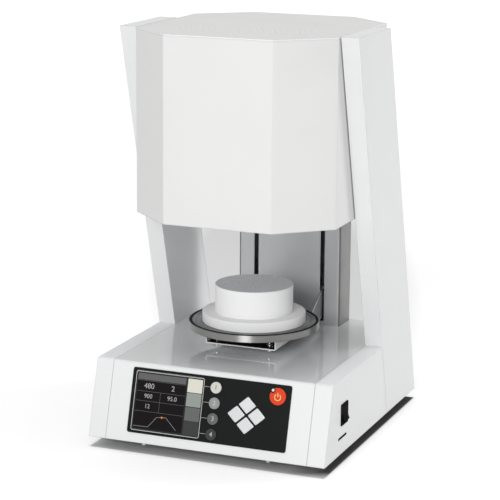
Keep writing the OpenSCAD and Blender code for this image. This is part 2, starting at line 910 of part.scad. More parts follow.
module feet() {
  recess_r = foot_r * 0.4;
  color(dark)
    for (x = [-1, 1], y = [-1, 1])
      translate([x * foot_x, y * foot_y, 0])
        rotate_extrude()
          polygon([
            [recess_r, 0], [foot_r - 2, 0], [foot_r - 1.5, 0.5], [foot_r, foot_h],
            [0, foot_h], [0, foot_h / 2], [recess_r, foot_h / 2]
          ]);
}

// A pan-head screw that stands on Z = 0 with its shank below
module cover_screw(length, head_h) {
  difference() {
    union() {
      cylinder(h = head_h, r = screw_head_r);
      translate([0, 0, -length])
        cylinder(h = length + head_h / 2, r = screw_shank_r);
    }
    for (turn = [0, 90])
      rotate(turn)
        translate([0, 0, head_h])
          cube([screw_head_r * 1.2, screw_head_r / 4, head_h], center = true);
  }
}

catch_y = pan_front(foot_h) + screw_head_r + seam;

module cover_screws() {
  color(steel) {
    on_rear()
      for (p = panel_screws)
        translate(p)
          cover_screw(sheet_t + 2, screw_head_h);
    for (x = [-1, 1])
      translate([x * catch_x, catch_y, foot_h])
        rotate([180, 0, 0])
          cover_screw(pan_t + 2, screw_head_h * 2);
  }
}

// Column and screw drive
module column_frame() {
  color(steel)
    xy(pan_z, frame_z1)
      difference() {
        frame_outline(0);
        translate([-frame_x + frame_t, frame_y0 - over])
          square([2 * (frame_x - frame_t), frame_y1 - frame_y0 - frame_t + over]);
      }
}

module guide_rods() {
  color(steel)
    for (x = [-1, 1])
      translate([x * rod_x, lift_y, drive_z0])
        cylinder(h = top_z1 - drive_z0, r = rod_r);
}

module plate_holes() {
  translate([0, lift_y])
    circle(bearing_r + run_fit);
  for (x = [-1, 1])
    translate([x * rod_x, lift_y])
      circle(rod_r + run_fit);
}

module screw_plates() {
  inner_x = frame_x - frame_t - fit;
  inner_y = frame_y1 - frame_t - fit;
  color(steel) {
    xy(drive_z0, drive_z1)
      difference() {
        union() {
          translate([-inner_x, frame_y0])
            square([2 * inner_x, inner_y - frame_y0]);
          translate([-tongue_x, motor_y - tongue_x])
            square([2 * tongue_x, frame_y0 + over - motor_y + tongue_x]);
        }
        plate_holes();
        translate([0, motor_y])
          circle(motor_boss_r);
      }
    xy(top_z0, top_z1)
      difference() {
        translate([-inner_x, frame_y0])
          square([2 * inner_x, inner_y - frame_y0]);
        plate_holes();
      }
  }
}

module screw_bearings() {
  groove = (bearing_r + journal_r) / 2;
  color(steel)
    for (z = [drive_z0, top_z0])
      translate([0, lift_y, z + (drive_t - bearing_h) / 2])
        difference() {
          cylinder(h = bearing_h, r = bearing_r);
          translate([0, 0, -over])
            cylinder(h = bearing_h + 2 * over, r = journal_r + run_fit);
          for (end = [-0.5, bearing_h - 0.5])
            translate([0, 0, end])
              difference() {
                cylinder(h = 1, r = groove + 1);
                translate([0, 0, -over])
                  cylinder(h = 1 + 2 * over, r = groove - 1);
              }
        }
}

thread_z0 = pulley_z1 + 2;
thread_z1 = top_z0 - 2;
thread_groove = 0.7;
thread_step = 8;

module lead_screw() {
  color(steel)
    translate([0, lift_y, 0]) {
      translate([0, 0, drive_z0 - 4])
        cylinder(h = top_z1 + 6 - drive_z0, r = journal_r);
      difference() {
        translate([0, 0, thread_z0])
          cylinder(h = thread_z1 - thread_z0, r = screw_r);
        for (z = [thread_z0 + thread_step / 2 : thread_step : thread_z1 - thread_step / 2])
          translate([0, 0, z])
            rotate_extrude()
              translate([screw_r, 0])
                circle(thread_groove);
      }
    }
}

// A belt pulley with two flanges, its channel r in radius
module pulley(r) {
  for (z = [0, pulley_flange_t + pulley_h])
    translate([0, 0, z])
      cylinder(h = pulley_flange_t, r = r + pulley_flange_w);
  cylinder(h = pulley_h + 2 * pulley_flange_t, r = r);
}

module screw_pulley() {
  color(steel)
    translate([0, lift_y, pulley_z0])
      difference() {
        pulley(pulley_r);
        translate([0, 0, -over])
          cylinder(h = pulley_z1 - pulley_z0 + 2 * over, r = journal_r + run_fit);
      }
}

// Outline round both pulleys; its straight runs start a hair inside the tangents
module belt_loop(r_screw, r_motor) {
  hair = 0.03;
  lean = (r_screw - r_motor) / belt_span;
  side = sqrt(1 - lean * lean);
  a = r_motor - hair;
  b = r_screw - hair;
  translate([0, belt_span])
    circle(r_screw);
  circle(r_motor);
  polygon([
    [side * a, -lean * a], [side * b, belt_span - lean * b],
    [-side * b, belt_span - lean * b], [-side * a, -lean * a]
  ]);
}

module drive_belt() {
  color(dark)
    translate([0, motor_y, 0])
      xy(pulley_z0 + pulley_flange_t + fit, pulley_z1 - pulley_flange_t - fit)
        difference() {
          belt_loop(pulley_r + fit + belt_t, pinion_r + fit + belt_t);
          belt_loop(pulley_r + fit, pinion_r + fit);
        }
}

module lift_motor() {
  color(dark)
    translate([0, motor_y, 0])
      difference() {
        union() {
          xy(drive_z0 - motor_h, drive_z0)
            intersection() {
              square(motor_w, center = true);
              rotate(45)
                square(motor_w * 1.27, center = true);
            }
          xy(drive_z0 - over, drive_z0 + 2)
            circle(motor_boss_r - run_fit);
        }
        translate([0, 0, drive_z0 - motor_h + 3])
          cylinder(h = motor_h, r = motor_shaft_r + run_fit);
      }
}

module motor_pulley() {
  color(steel)
    translate([0, motor_y, 0]) {
      translate([0, 0, drive_z0 - motor_h + 3 + fit])
        cylinder(h = pulley_z1 - drive_z0 + motor_h - 2, r = motor_shaft_r);
      translate([0, 0, pulley_z0])
        pulley(pinion_r);
    }
}

module lift_carriage() {
  color(steel)
    difference() {
      block([-arm_x, lift_y - carriage_d / 2, arm_z0], [arm_x, arm_y1, arm_z1]);
      for (x = [-1, 1])
        translate([x * rod_x, lift_y, arm_z0 - over])
          cylinder(h = arm_h + 2 * over, r = rod_r + run_fit);
      translate([0, lift_y, arm_z0 - over])
        cylinder(h = nut_h + over + run_fit, r = nut_r + run_fit);
      translate([0, lift_y, arm_z0])
        cylinder(h = arm_h + over, r = screw_r + 1);
    }
}

module lift_nut() {
  color("goldenrod")
    translate([0, lift_y, arm_z0])
      difference() {
        union() {
          cylinder(h = nut_h, r = nut_r);
          translate([0, 0, -nut_flange_h])
            cylinder(h = nut_flange_h, r = nut_flange_r);
        }
        translate([0, 0, -nut_flange_h - over])
          cylinder(h = nut_h + nut_flange_h + 2 * over, r = screw_r + run_fit);
      }
}

module bracket_corner() {
  translate([tray_w / 2 - tray_bend, tray_y0 - over, tray_z0 + tray_bend])
    rotate([-90, 0, 0])
      linear_extrude(tray_y1 - tray_y0 + 2 * over)
        difference() {
          square(tray_bend + over);
          circle(tray_bend);
        }
}

module lift_bracket() {
  color(white)
    difference() {
      union() {
        block([-tray_w / 2, tray_y0, tray_z0], [tray_w / 2, tray_y1, tray_z1]);
        for (hand = [0, 1])
          mirror([hand, 0, 0])
            yz(arm_x, tray_w / 2)
              polygon([
                [tray_y0, tray_z0], [tray_y1, tray_z0], [tray_y1, arm_z0], [arm_y1, arm_z0],
                [arm_y1, arm_z1], [arm_flat_y, arm_z1], [arm_foot_y, tray_z0 + tray_h],
                [tray_y0, tray_z0 + tray_h]
              ]);
      }
      for (hand = [0, 1])
        mirror([hand, 0, 0])
          bracket_corner();
      for (x = [-1, 1], y = [-1, 1])
        translate([x * float_xy, table_y + y * float_xy, tray_z0 - over])
          cylinder(h = tray_t + 2 * over, r = float_r + run_fit);
    }
}

// Firing table
module table_plate() {
  color(steel)
    turned_at_table([
      [0, web_z0], [table_r - pocket_rim, web_z0], [table_r - pocket_rim, plate_z0],
      [table_r - 0.5, plate_z0], [table_r, plate_z0 + 0.5], [table_r, plate_z1 - 0.3],
      [table_r - 0.3, plate_z1], [seal_r + groove_w / 2, plate_z1],
      [seal_r + groove_w / 2, groove_z], [seal_r - groove_w / 2, groove_z],
      [seal_r - groove_w / 2, plate_z1], [recess_r + recess_h, plate_z1], [recess_r, web_z1],
      [0, web_z1]
    ]);
}

module table_seal() {
  color(dark)
    translate([0, table_y, groove_z + run_fit + seal_d / 2])
      rotate_extrude()
        translate([seal_r, 0])
          circle(seal_d / 2);
}

module table_flange() {
  color(ceramic_white)
    turned_at_table([
      [0, web_z1], [flange_r, web_z1], [flange_r, flange_z1 - ceramic_edge],
      [flange_r - ceramic_edge, flange_z1], [0, flange_z1]
    ]);
}

module firing_block() {
  pad_r = block_r - pad_rim;
  color(ceramic_white)
    turned_at_table([
      [0, flange_z1], [block_r, flange_z1], [block_r, block_z1 - pad_rim / 2],
      [block_r - pad_rim / 2, block_z1], [pad_r, block_z1], [pad_r, block_z1 - pad_h],
      [0, block_z1 - pad_h]
    ]);
}

module firing_pad() {
  color([0.62, 0.63, 0.64])
    translate([0, table_y, block_z1 - pad_h])
      cylinder(h = pad_h, r = block_r - pad_rim - run_fit);
}

module float_screws() {
  color(steel)
    for (x = [-1, 1], y = [-1, 1])
      translate([x * float_xy, table_y + y * float_xy, tray_z0 - fit - float_head_h]) {
        cylinder(h = float_head_h, r = float_r * 1.8);
        cylinder(h = web_z0 - tray_z0 + fit + float_head_h, r = float_r);
      }
}

spring_rings = 8;
spring_z0 = tray_z1 + fit;
spring_z1 = web_z0 - fit;
spring_path = helix_points(spring_r, spring_z0, spring_z1, spring_turns, spring_rings, spring_wire);

module float_springs() {
  color(steel)
    for (x = [-1, 1], y = [-1, 1])
      translate([x * float_xy, table_y + y * float_xy, 0])
        wire(spring_path, helix_outs(spring_turns, spring_rings), spring_wire / 2);
}

// Firing chamber
module seal_ring() {
  color(steel)
    turned_at_table([
      [mouth_r, seat_z0], [table_r + seat_over, seat_z0], [table_r + seat_over, floor_z0],
      [mouth_r, floor_z0]
    ]);
}

module muffle_insulation() {
  color(ceramic_white) {
    turned_at_table([
      [mouth_r, floor_z1], [muffle_r, floor_z1], [muffle_r, lip_z0 - muffle_joint],
      [mouth_r, lip_z0 - muffle_joint]
    ]);
    turned_at_table([[lip_r, lip_z0], [muffle_r, lip_z0], [muffle_r, lip_z1], [lip_r, lip_z1]]);
    turned_at_table([
      [muffle_bore_r, lip_z1 + muffle_joint], [muffle_r, lip_z1 + muffle_joint],
      [muffle_r, cap_z0 - muffle_joint], [muffle_bore_r, cap_z0 - muffle_joint]
    ]);
    turned_at_table([[probe_r + fit, cap_z0], [muffle_r, cap_z0], [muffle_r, cap_z1], [probe_r + fit, cap_z1]]);
  }
}

module quartz_tube() {
  color([0.8, 0.84, 0.86, 0.5])
    turned_at_table([
      [quartz_r, lip_z1], [quartz_r + quartz_t, lip_z1], [quartz_r + quartz_t, cap_z0],
      [quartz_r, cap_z0]
    ]);
}

coil_rings = 16;
coil_path = helix_points(coil_r, lip_z1 + fit, cap_z0 - fit, coil_turns, coil_rings, coil_wire);

module heating_coil() {
  color("saddlebrown")
    translate([0, table_y, 0])
      wire(coil_path, helix_outs(coil_turns, coil_rings), coil_wire / 2);
}

module thermocouple() {
  color(ceramic_white)
    translate([0, table_y, 0]) {
      translate([0, 0, cap_z0 - probe_drop])
        cylinder(h = shell_z1 - cap_z0 + probe_drop + over, r = probe_r);
      translate([0, 0, shell_z1])
        cylinder(h = 9, r = probe_r * 4);
    }
}

module vacuum_shell() {
  color(steel)
    difference() {
      turned_at_table([
        [shell_r - shell_t, floor_z1], [shell_r + shell_flange_w, floor_z1],
        [shell_r + shell_flange_w, floor_z1 + 2], [shell_r, floor_z1 + 2], [shell_r, shell_z1],
        [0, shell_z1], [0, shell_z1 - shell_t], [shell_r - shell_t, shell_z1 - shell_t]
      ]);
      translate([0, table_y, shell_z1 - shell_t - over])
        cylinder(h = shell_t + 2 * over, r = probe_r + fit);
    }
}

// Control panel
function round_key(n) = [key_x, key_s - n * key_pitch];
function diamond_key(n) = [pad_x, pad_s] + pad_spread * [diamond_keys[n][0], pad_squash * diamond_keys[n][1]];

module diamond(grow) {
  side = pad_key_w + 2 * grow;
  scale([1, pad_squash])
    rotate(45)
      rounded(side, side, key_corner_r);
}

module start_outline(grow) {
  difference() {
    translate([start_x, start_s])
      circle(start_r + grow);
    translate(lamp_pos)
      circle(lamp_r + lamp_ring - grow);
  }
}

module key_holes() {
  for (n = [0 : 3]) {
    translate(round_key(n))
      circle(key_r + key_hole_gap);
    translate(diamond_key(n))
      diamond(key_hole_gap);
  }
  start_outline(key_hole_gap);
  translate(lamp_pos)
    circle(lamp_r + key_hole_gap);
}

module control_overlay() {
  color(dark)
    on_front()
      xy(0, panel_t)
        difference() {
          translate([0, panel_s])
            rounded(panel_w, panel_h, panel_r);
          translate([screen_x, panel_s])
            rounded(screen_w, screen_h, screen_r);
          key_holes();
        }
}

module display() {
  slack = 2 * fit;
  color([0.16, 0.16, 0.17])
    on_front()
      translate([screen_x, panel_s]) {
        xy(0, panel_t)
          rounded(screen_w - slack, screen_h - slack, screen_r);
        xy(-screen_depth, 0)
          rounded(screen_w - 2 * screen_r - slack, screen_h - 2 * screen_r - slack, screen_r);
      }
}

// A key: its cap through the panel, a flange behind it and a stem to the board
plunger_h = 1.5;
key_top = panel_t + key_proud;
key_flange_top = -sheet_t - fit;
key_stem_end = -board_depth + plunger_h + key_travel + fit;

module key_body(at) {
  on_front() {
    xy(key_flange_top - key_flange_t, key_top)
      children(0);
    xy(key_flange_top - key_flange_t, key_flange_top)
      children(1);
    translate([at[0], at[1], key_stem_end])
      cylinder(h = key_top - key_stem_end, r = 2);
  }
}

module make_round_key(n) {
  key_body(round_key(n)) {
    translate(round_key(n))
      circle(key_r);
    translate(round_key(n))
      circle(key_r + key_flange_w);
  }
}

module make_diamond_key(n) {
  key_body(diamond_key(n)) {
    translate(diamond_key(n))
      diamond(0);
    translate(diamond_key(n))
      diamond(key_flange_w);
  }
}

module key_1() {
  color([0.84, 0.83, 0.79])
    make_round_key(0);
}

module key_2() {
  color([0.6, 0.61, 0.6])
    make_round_key(1);
}

module key_3() {
  color([0.4, 0.4, 0.4])
    make_round_key(2);
}

module key_4() {
  color([0.22, 0.22, 0.22])
    make_round_key(3);
}

module key_up() {
  color("silver")
    make_diamond_key(0);
}

module key_down() {
  color("silver")
    make_diamond_key(1);
}

module key_left() {
  color("silver")
    make_diamond_key(2);
}

module key_right() {
  color("silver")
    make_diamond_key(3);
}

module start_key() {
  color([0.91, 0.31, 0.14])
    key_body([start_x, start_s]) {
      start_outline(0);
      start_outline(key_flange_w);
    }
}

module status_lamp() {
  color([0.95, 0.95, 0.95])
    on_front()
      translate([lamp_pos[0], lamp_pos[1], 0]) {
        translate([0, 0, -board_depth])
          cylinder(h = board_depth + panel_t, r = lamp_r);
        intersection() {
          translate([0, 0, panel_t])
            sphere(lamp_r);
          cylinder(h = panel_t + lamp_r, r = lamp_r);
        }
      }
}

// Power switch and card reader on the right side
switch_z = foot_h + switch_h;
pivot_x = body_w / 2 - 4;
rocker_w = switch_w - 2 * switch_lip - 4;
rocker_face = body_w / 2 + switch_lip - pivot_x;

module switch_frame() {
  hole_l = 2 * (rocker_r + fit);
  color(dark)
    translate([0, switch_y, switch_z])
      difference() {
        union() {
          yz(body_w / 2, body_w / 2 + switch_lip)
            rounded(switch_w, switch_l, 1);
          yz(body_w / 2 - switch_depth, body_w / 2)
            square([switch_w - 2 * switch_lip - 2 * fit, switch_l - 4 * fit], center = true);
        }
        yz(pivot_x - rocker_r - fit, body_w / 2 + switch_lip + over)
          square([rocker_w + 2 * fit, hole_l], center = true);
      }
}

module switch_rocker() {
  rise = 1.7;
  color(dark)
    translate([pivot_x, switch_y, switch_z])
      rotate([0, -rocker_tilt, 0])
        rotate([90, 0, 0])
          linear_extrude(rocker_w, center = true)
            intersection() {
              polygon([
                [-5, -rocker_r], [rocker_face + rise, -rocker_r], [rocker_face + 0.2, 0],
                [rocker_face + rise, rocker_r], [-5, rocker_r]
              ]);
              circle(rocker_r);
            }
}

module card_reader() {
  nose_l = card_l - 2 * fit;
  nose_w = card_w - 2 * fit;
  color(dark)
    translate([0, card_y, foot_h + card_h])
      difference() {
        union() {
          yz(body_w / 2 - sheet_t - fit - card_depth, body_w / 2 - sheet_t - fit)
            square([card_l + 6, 2.2 * card_w], center = true);
          yz(body_w / 2 - sheet_t - fit - over, body_w / 2 - 0.2)
            rounded(nose_l, nose_w, nose_w / 2 - run_fit);
        }
        yz(body_w / 2 - card_depth, body_w / 2 + over)
          square([nose_l - 2, nose_w - 1.2], center = true);
      }
}

// Boards, on posts from the front panel and from the pan
key_board_x0 = screen_x + screen_w / 2 + board_edge;
key_board_w = start_x + start_r + board_edge - key_board_x0;
main_board_y = front_y(pan_z) + main_board_d / 2 + screen_depth + chip_pitch;
main_board_z = pan_z + main_board_lift;

module key_board() {
  xy(-board_depth - board_t, -board_depth)
    translate([key_board_x0, panel_s - panel_h / 2])
      square([key_board_w, panel_h]);
  for (p = concat([for (n = [0 : 3]) each [round_key(n), diamond_key(n)]], [[start_x, start_s]]))
    translate([p[0], p[1], -board_depth])
      cylinder(h = plunger_h, r = post_r);
  for (x = [-1, 1], s = [-1, 1])
    translate([pad_x + x * post_x, pad_s + s * post_s, -board_depth])
      cylinder(h = board_depth - sheet_t, r = post_r);
}

module main_board() {
  xy(main_board_z, main_board_z + board_t)
    square([main_board_w, main_board_d], center = true);
  for (x = [-1, 1], y = [-1, 1])
    translate([x * (main_board_w / 2 - 2 * post_r), y * (main_board_d / 2 - 2 * post_r), pan_z])
      cylinder(h = main_board_lift, r = post_r);
  for (x = [-1 : 1])
    translate([x * chip_pitch, main_board_d / 6, main_board_z + board_t])
      linear_extrude(chip_h)
        square(chip_w, center = true);
  for (x = [-1.5 : 1.5])
    translate([x * chip_pitch, -main_board_d / 4, main_board_z + board_t])
      cylinder(h = can_h, r = can_r);
}

module circuit_boards() {
  color([0.1, 0.36, 0.2]) {
    on_front()
      key_board();
    translate([main_board_w / 4, main_board_y, 0])
      main_board();
  }
}

// Rear panel fittings
module mains_inlet() {
  color(dark)
    on_rear()
      translate([-inlet_x, inlet_s]) {
        difference() {
          union() {
            xy(0, inlet_t)
              rounded(inlet_w, inlet_h, inlet_rim / 2);
            xy(-inlet_depth, 0)
              square([inlet_body_w, inlet_body_h], center = true);
          }
          translate([0, inlet_mouth_s, inlet_t - inlet_mouth_depth])
            linear_extrude(inlet_mouth_depth + over)
              square([inlet_mouth_w, inlet_mouth_h], center = true);
        }
        for (p = [[0, 1], [-1, -1], [1, -1]])
          translate([p[0] * inlet_mouth_w / 4, inlet_mouth_s + p[1] * inlet_mouth_h / 6, inlet_t - inlet_mouth_depth])
            linear_extrude(inlet_mouth_depth * 0.6)
              square([2, 4], center = true);
      }
}

module hose_spigot() {
  color("goldenrod")
    on_rear()
      translate([-spigot_x, spigot_s, 0]) {
        cylinder(h = 3, r = spigot_r + 4, $fn = 6);
        cylinder(h = 3 + spigot_l, r = spigot_r);
        translate([0, 0, -sheet_t - 6])
          cylinder(h = sheet_t + 6 + over, r = spigot_r);
        translate([0, 0, -sheet_t - 4])
          cylinder(h = 4, r = spigot_r + 3, $fn = 6);
      }
}

fan_z1 = -sheet_t;
fan_hub_r = 11;
fan_tip_r = fan_w / 2 - 2.5;

module fan_frame() {
  color(dark)
    on_rear()
      translate([fan_x, fan_s, 0]) {
        xy(fan_z1 - fan_depth, fan_z1)
          difference() {
            rounded(fan_w, fan_w, 4);
            circle(fan_tip_r + 1);
          }
        xy(fan_z1 - fan_depth, fan_z1 - fan_depth + 1.5) {
          circle(fan_hub_r);
          for (turn = [0 : 120 : 240])
            rotate(turn)
              translate([0, -1.5])
                square([fan_w / 2 - 1, 3]);
        }
      }
}

module fan_rotor() {
  low = fan_z1 - fan_depth + 1.5 + fit;
  high = fan_z1 - 1;
  color(dark)
    on_rear()
      translate([fan_x, fan_s, 0]) {
        xy(low, high)
          circle(fan_hub_r);
        for (n = [0 : fan_blades - 1])
          rotate(n * 360 / fan_blades)
            intersection() {
              translate([fan_hub_r - 1, 0, (low + high) / 2])
                rotate([38, 0, 0])
                  translate([0, -0.6, -fan_depth / 2])
                    cube([fan_tip_r - fan_hub_r + 1, 1.2, fan_depth]);
              translate([0, 0, low + 1])
                cylinder(h = high - low - 2, r = fan_tip_r);
            }
      }
}

module transformer() {
  hole_r = coil_core_r * 0.38;
  round_r = 8;
  color([0.2, 0.2, 0.22])
    translate([core_side_gap - in_x, body_d / 2 - core_rear_gap, pan_z]) {
      rotate_extrude()
        translate([(coil_core_r + hole_r) / 2, coil_core_h / 2])
          rounded(coil_core_r - hole_r, coil_core_h, round_r);
      cylinder(h = coil_core_h + 2, r = 3);
      translate([0, 0, coil_core_h])
        cylinder(h = 2, r = hole_r + round_r + 2);
    }
}

echo(str("float spring, least gap to itself: ", self_gap(spring_path, spring_wire, spring_rings - 2), " mm"));
echo(str("heating coil, least gap to itself: ", self_gap(coil_path, coil_wire, coil_rings - 2), " mm"));
echo(str("lift travel: ", lift_travel, " mm, firing surface at rest: ", block_z1, " mm"));

front_cover();
base_side_left();
base_side_right();
wing_left();
wing_right();
wing_plates();
base_pan();
rear_panel();
column_cover();
head_shell();
head_lid();
head_floor();
feet();
cover_screws();
column_frame();
guide_rods();
screw_plates();
screw_bearings();
lead_screw();
screw_pulley();
drive_belt();
lift_motor();
motor_pulley();
lift_carriage();
lift_nut();
lift_bracket();
table_plate();
table_seal();
table_flange();
firing_block();
firing_pad();
float_screws();
float_springs();
seal_ring();
muffle_insulation();
quartz_tube();
heating_coil();
thermocouple();
vacuum_shell();
control_overlay();
display();
key_1();
key_2();
key_3();
key_4();
key_up();
key_down();
key_left();
key_right();
start_key();
status_lamp();
switch_frame();
switch_rocker();
circuit_boards();
mains_inlet();
hose_spigot();
fan_frame();
fan_rotor();
card_reader();
transformer();
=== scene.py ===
# %% [markdown]
# # Dressing a bench furnace for dental ceramics
# The solids of this furnace come from a CAD model at their real size.
# This lesson gives every one of them its finish, adds the screen picture, the key
# marks and the smooth wound springs, and lights the result like a catalogue picture.
# Everything is in metres: X to the operator's right, Y to the rear, Z up.

# %% Load the solid model
import math

import bmesh
import bpy
from mathutils import Matrix, Vector


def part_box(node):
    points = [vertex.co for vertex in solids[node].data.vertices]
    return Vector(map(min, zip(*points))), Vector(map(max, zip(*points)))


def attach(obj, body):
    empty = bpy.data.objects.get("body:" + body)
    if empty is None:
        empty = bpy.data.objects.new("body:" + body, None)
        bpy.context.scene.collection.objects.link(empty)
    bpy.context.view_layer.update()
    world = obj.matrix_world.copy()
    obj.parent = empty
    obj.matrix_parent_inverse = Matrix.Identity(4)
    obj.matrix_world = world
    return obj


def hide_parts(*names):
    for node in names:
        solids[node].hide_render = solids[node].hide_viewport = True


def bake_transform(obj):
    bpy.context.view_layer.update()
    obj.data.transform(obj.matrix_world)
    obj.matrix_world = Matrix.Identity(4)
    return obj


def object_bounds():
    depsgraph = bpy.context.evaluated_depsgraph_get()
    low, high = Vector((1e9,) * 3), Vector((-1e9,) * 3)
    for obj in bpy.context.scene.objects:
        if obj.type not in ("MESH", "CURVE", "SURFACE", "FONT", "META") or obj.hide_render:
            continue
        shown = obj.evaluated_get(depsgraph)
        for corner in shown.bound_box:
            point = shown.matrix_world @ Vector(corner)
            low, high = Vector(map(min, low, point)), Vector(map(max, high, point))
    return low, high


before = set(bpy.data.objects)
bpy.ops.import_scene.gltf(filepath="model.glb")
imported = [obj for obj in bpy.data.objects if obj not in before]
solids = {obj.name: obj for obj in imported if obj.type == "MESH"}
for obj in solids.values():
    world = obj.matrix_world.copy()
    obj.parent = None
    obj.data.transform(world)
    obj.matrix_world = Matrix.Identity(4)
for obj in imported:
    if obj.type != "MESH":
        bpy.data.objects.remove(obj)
cad_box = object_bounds()
MM = 0.001


def rounded(values):
    return [round(value, 3) for value in values]


print(len(solids), "solids, from", rounded(cad_box[0]), "to", rounded(cad_box[1]))

# %% [markdown]
# ## Finishes
# A real surface is never one flat value. Powder coat has a fine orange-peel skin,
# turned steel has rings, ceramic fibre has soft mottling. Each finish below starts
# from the same recipe: a Principled shader, a slow change of tone, a fine bump, and
# a Bevel node that rounds the light over sharp CAD edges. The numbers then differ.
# Grains and patches are counted per metre. Depths and edge radii are in millimetres.

# %% The common recipe of a finish
BEVEL_SAMPLES = 6


def new_finish(name, tone, roughness, metallic=0.0):
    material = bpy.data.materials.new(name)
    material.use_nodes = True
    nodes, links = material.node_tree.nodes, material.node_tree.links
    shader = nodes["Principled BSDF"]
    shader.inputs["Base Color"].default_value = (*tone, 1)
    shader.inputs["Roughness"].default_value = roughness
    shader.inputs["Metallic"].default_value = metallic
    place = nodes.new("ShaderNodeTexCoord")
    return material, nodes, links, shader, place.outputs["Object"]


def mottle(nodes, links, place, scale, detail=3.0):
    """Soft cloudy variation, with features about 1 / scale metres wide."""
    noise = nodes.new("ShaderNodeTexNoise")
    noise.inputs["Scale"].default_value = scale
    noise.inputs["Detail"].default_value = detail
    links.new(place, noise.inputs["Vector"])
    return noise.outputs["Fac"]


def vary_tone(nodes, links, shader, factor, dark, light, low=0.35, high=0.65):
    ramp = nodes.new("ShaderNodeValToRGB")
    ramp.color_ramp.elements[0].position = low
    ramp.color_ramp.elements[1].position = high
    ramp.color_ramp.elements[0].color = (*dark, 1)
    ramp.color_ramp.elements[1].color = (*light, 1)
    links.new(factor, ramp.inputs["Fac"])
    links.new(ramp.outputs["Color"], shader.inputs["Base Color"])


def vary_roughness(nodes, links, shader, factor, low, high):
    spread = nodes.new("ShaderNodeMapRange")
    spread.inputs["To Min"].default_value = low
    spread.inputs["To Max"].default_value = high
    links.new(factor, spread.inputs["Value"])
    links.new(spread.outputs["Result"], shader.inputs["Roughness"])


def add_relief(nodes, links, shader, height, depth, edge):
    """Bump of the given depth, over edges rounded to the given radius, both in mm."""
    rounding = nodes.new("ShaderNodeBevel")
    rounding.samples = BEVEL_SAMPLES
    rounding.inputs["Radius"].default_value = edge * MM
    bump = nodes.new("ShaderNodeBump")
    bump.inputs["Distance"].default_value = depth * MM
    links.new(height, bump.inputs["Height"])
    links.new(rounding.outputs["Normal"], bump.inputs["Normal"])
    links.new(bump.outputs["Normal"], shader.inputs["Normal"])


def shade(tone, factor):
    return tuple(value * factor for value in tone)


print("recipe ready, with", BEVEL_SAMPLES, "samples for a rounded edge")

# %% [markdown]
# ### Coats and skins
# Paint, moulded plastic, rubber and cast ceramic have one thing in common: a smooth
# skin with a fine grain. So one function makes them all. It lets the tone and the
# roughness drift slowly, with different patches, so that a large panel never looks
# like a single flat colour.

# %% A coat: paint, plastic or ceramic skin
TONE_PATCHES = 9
GLOSS_PATCHES = 60
GLOSS_SPREAD = 0.04


def coated(name, tone, roughness, grain, depth, edge, metallic=0.0, unevenness=0.04, mirror=0.5):
    """A painted, moulded or cast skin: slow change of tone and a fine grain."""
    material, nodes, links, shader, place = new_finish(name, tone, roughness, metallic)
    shader.inputs["Specular IOR Level"].default_value = mirror
    patches = mottle(nodes, links, place, TONE_PATCHES)
    vary_tone(nodes, links, shader, patches, shade(tone, 1 - unevenness), tone)
    haze = mottle(nodes, links, place, GLOSS_PATCHES)
    vary_roughness(nodes, links, shader, haze, roughness - GLOSS_SPREAD, roughness + GLOSS_SPREAD)
    skin = mottle(nodes, links, place, grain, 2)
    add_relief(nodes, links, shader, skin, depth, edge)
    return material


print("a coat has patches about", round(1 / TONE_PATCHES, 2), "m wide")

# %% [markdown]
# ### Powder coat
# The casing is folded sheet with a white powder coat. Its skin has a fine
# orange-peel texture about a millimetre wide, and the folds are soft. The head's
# folds are wider than those of the covers, so they get a larger edge radius.

# %% Make the powder coats
PEEL_GRAIN = 900


def powder_coat(name, tone, edge, roughness=0.4, depth=0.06, unevenness=0.02):
    return coated(name, tone, roughness, PEEL_GRAIN, depth, edge, unevenness=unevenness)


casing_white = powder_coat("casing_powder_coat", (0.83, 0.835, 0.84), edge=1.6)
head_white = powder_coat("head_powder_coat", (0.805, 0.805, 0.8), edge=2.5, roughness=0.42)
# Painted light: a whiter coat that stands in for the light on the wing plates and on the side covers'
# tops.
painted_light_white = powder_coat("powder_coat_painted_light", (0.93, 0.94, 0.95), edge=1.6)
lid_grey = powder_coat(
    "lid_powder_coat", (0.76, 0.765, 0.755), edge=0.8,
    roughness=0.45, depth=0.07, unevenness=0.03,
)
# Painted highlight: a near-white coat for the lid's rim that stands in for the bright line along its
# edge.
painted_highlight_rim = powder_coat("lid_rim_painted_highlight_coat", (0.95, 0.955, 0.96), edge=1.2)
print("powder coats made, with", PEEL_GRAIN, "grains to the metre")

# %% [markdown]
# ### Gloss enamel
# The deck is different: in the picture it mirrors the tray and the column. It has a
# clear coat over an enamel a little greyer than the casing's, and that grey is painted
# shade from the head above it. The coat does the mirroring, and the enamel below
# stays soft.

# %% Make the gloss enamel
deck_gloss = coated(
    "deck_gloss_enamel", (0.76, 0.77, 0.775), roughness=0.4,
    grain=900, depth=0.01, edge=0.8, unevenness=0.02,
)
gloss = deck_gloss.node_tree.nodes["Principled BSDF"].inputs
gloss["Coat Weight"].default_value = 1.0
gloss["Coat Roughness"].default_value = 0.05
gloss["Coat IOR"].default_value = 1.65
print("gloss enamel made")

# %% [markdown]
# ### Turned metal
# The firing table and the chamber's steel are turned on a lathe, so they show fine
# rings round their axis. Rings come from the distance to the axis: a Wave texture in
# Rings mode, moved so that its centre is the axis of the part. The tool marks also
# stretch a highlight across themselves. Anisotropic does that, with a tangent that
# runs round the axis, the cross product of Z and the radius, and a quarter turn of
# rotation.

# %% Turned metal
WAVES_PER_UNIT = 20 / math.tau
RING_DEPTH = 0.01
RING_ROUGHNESS = 0.12
WEAR_PATCHES = 14
WEAR_SHADE = 0.9
UPRIGHT = (0, 0, 1)
QUARTER_TURN = 0.25


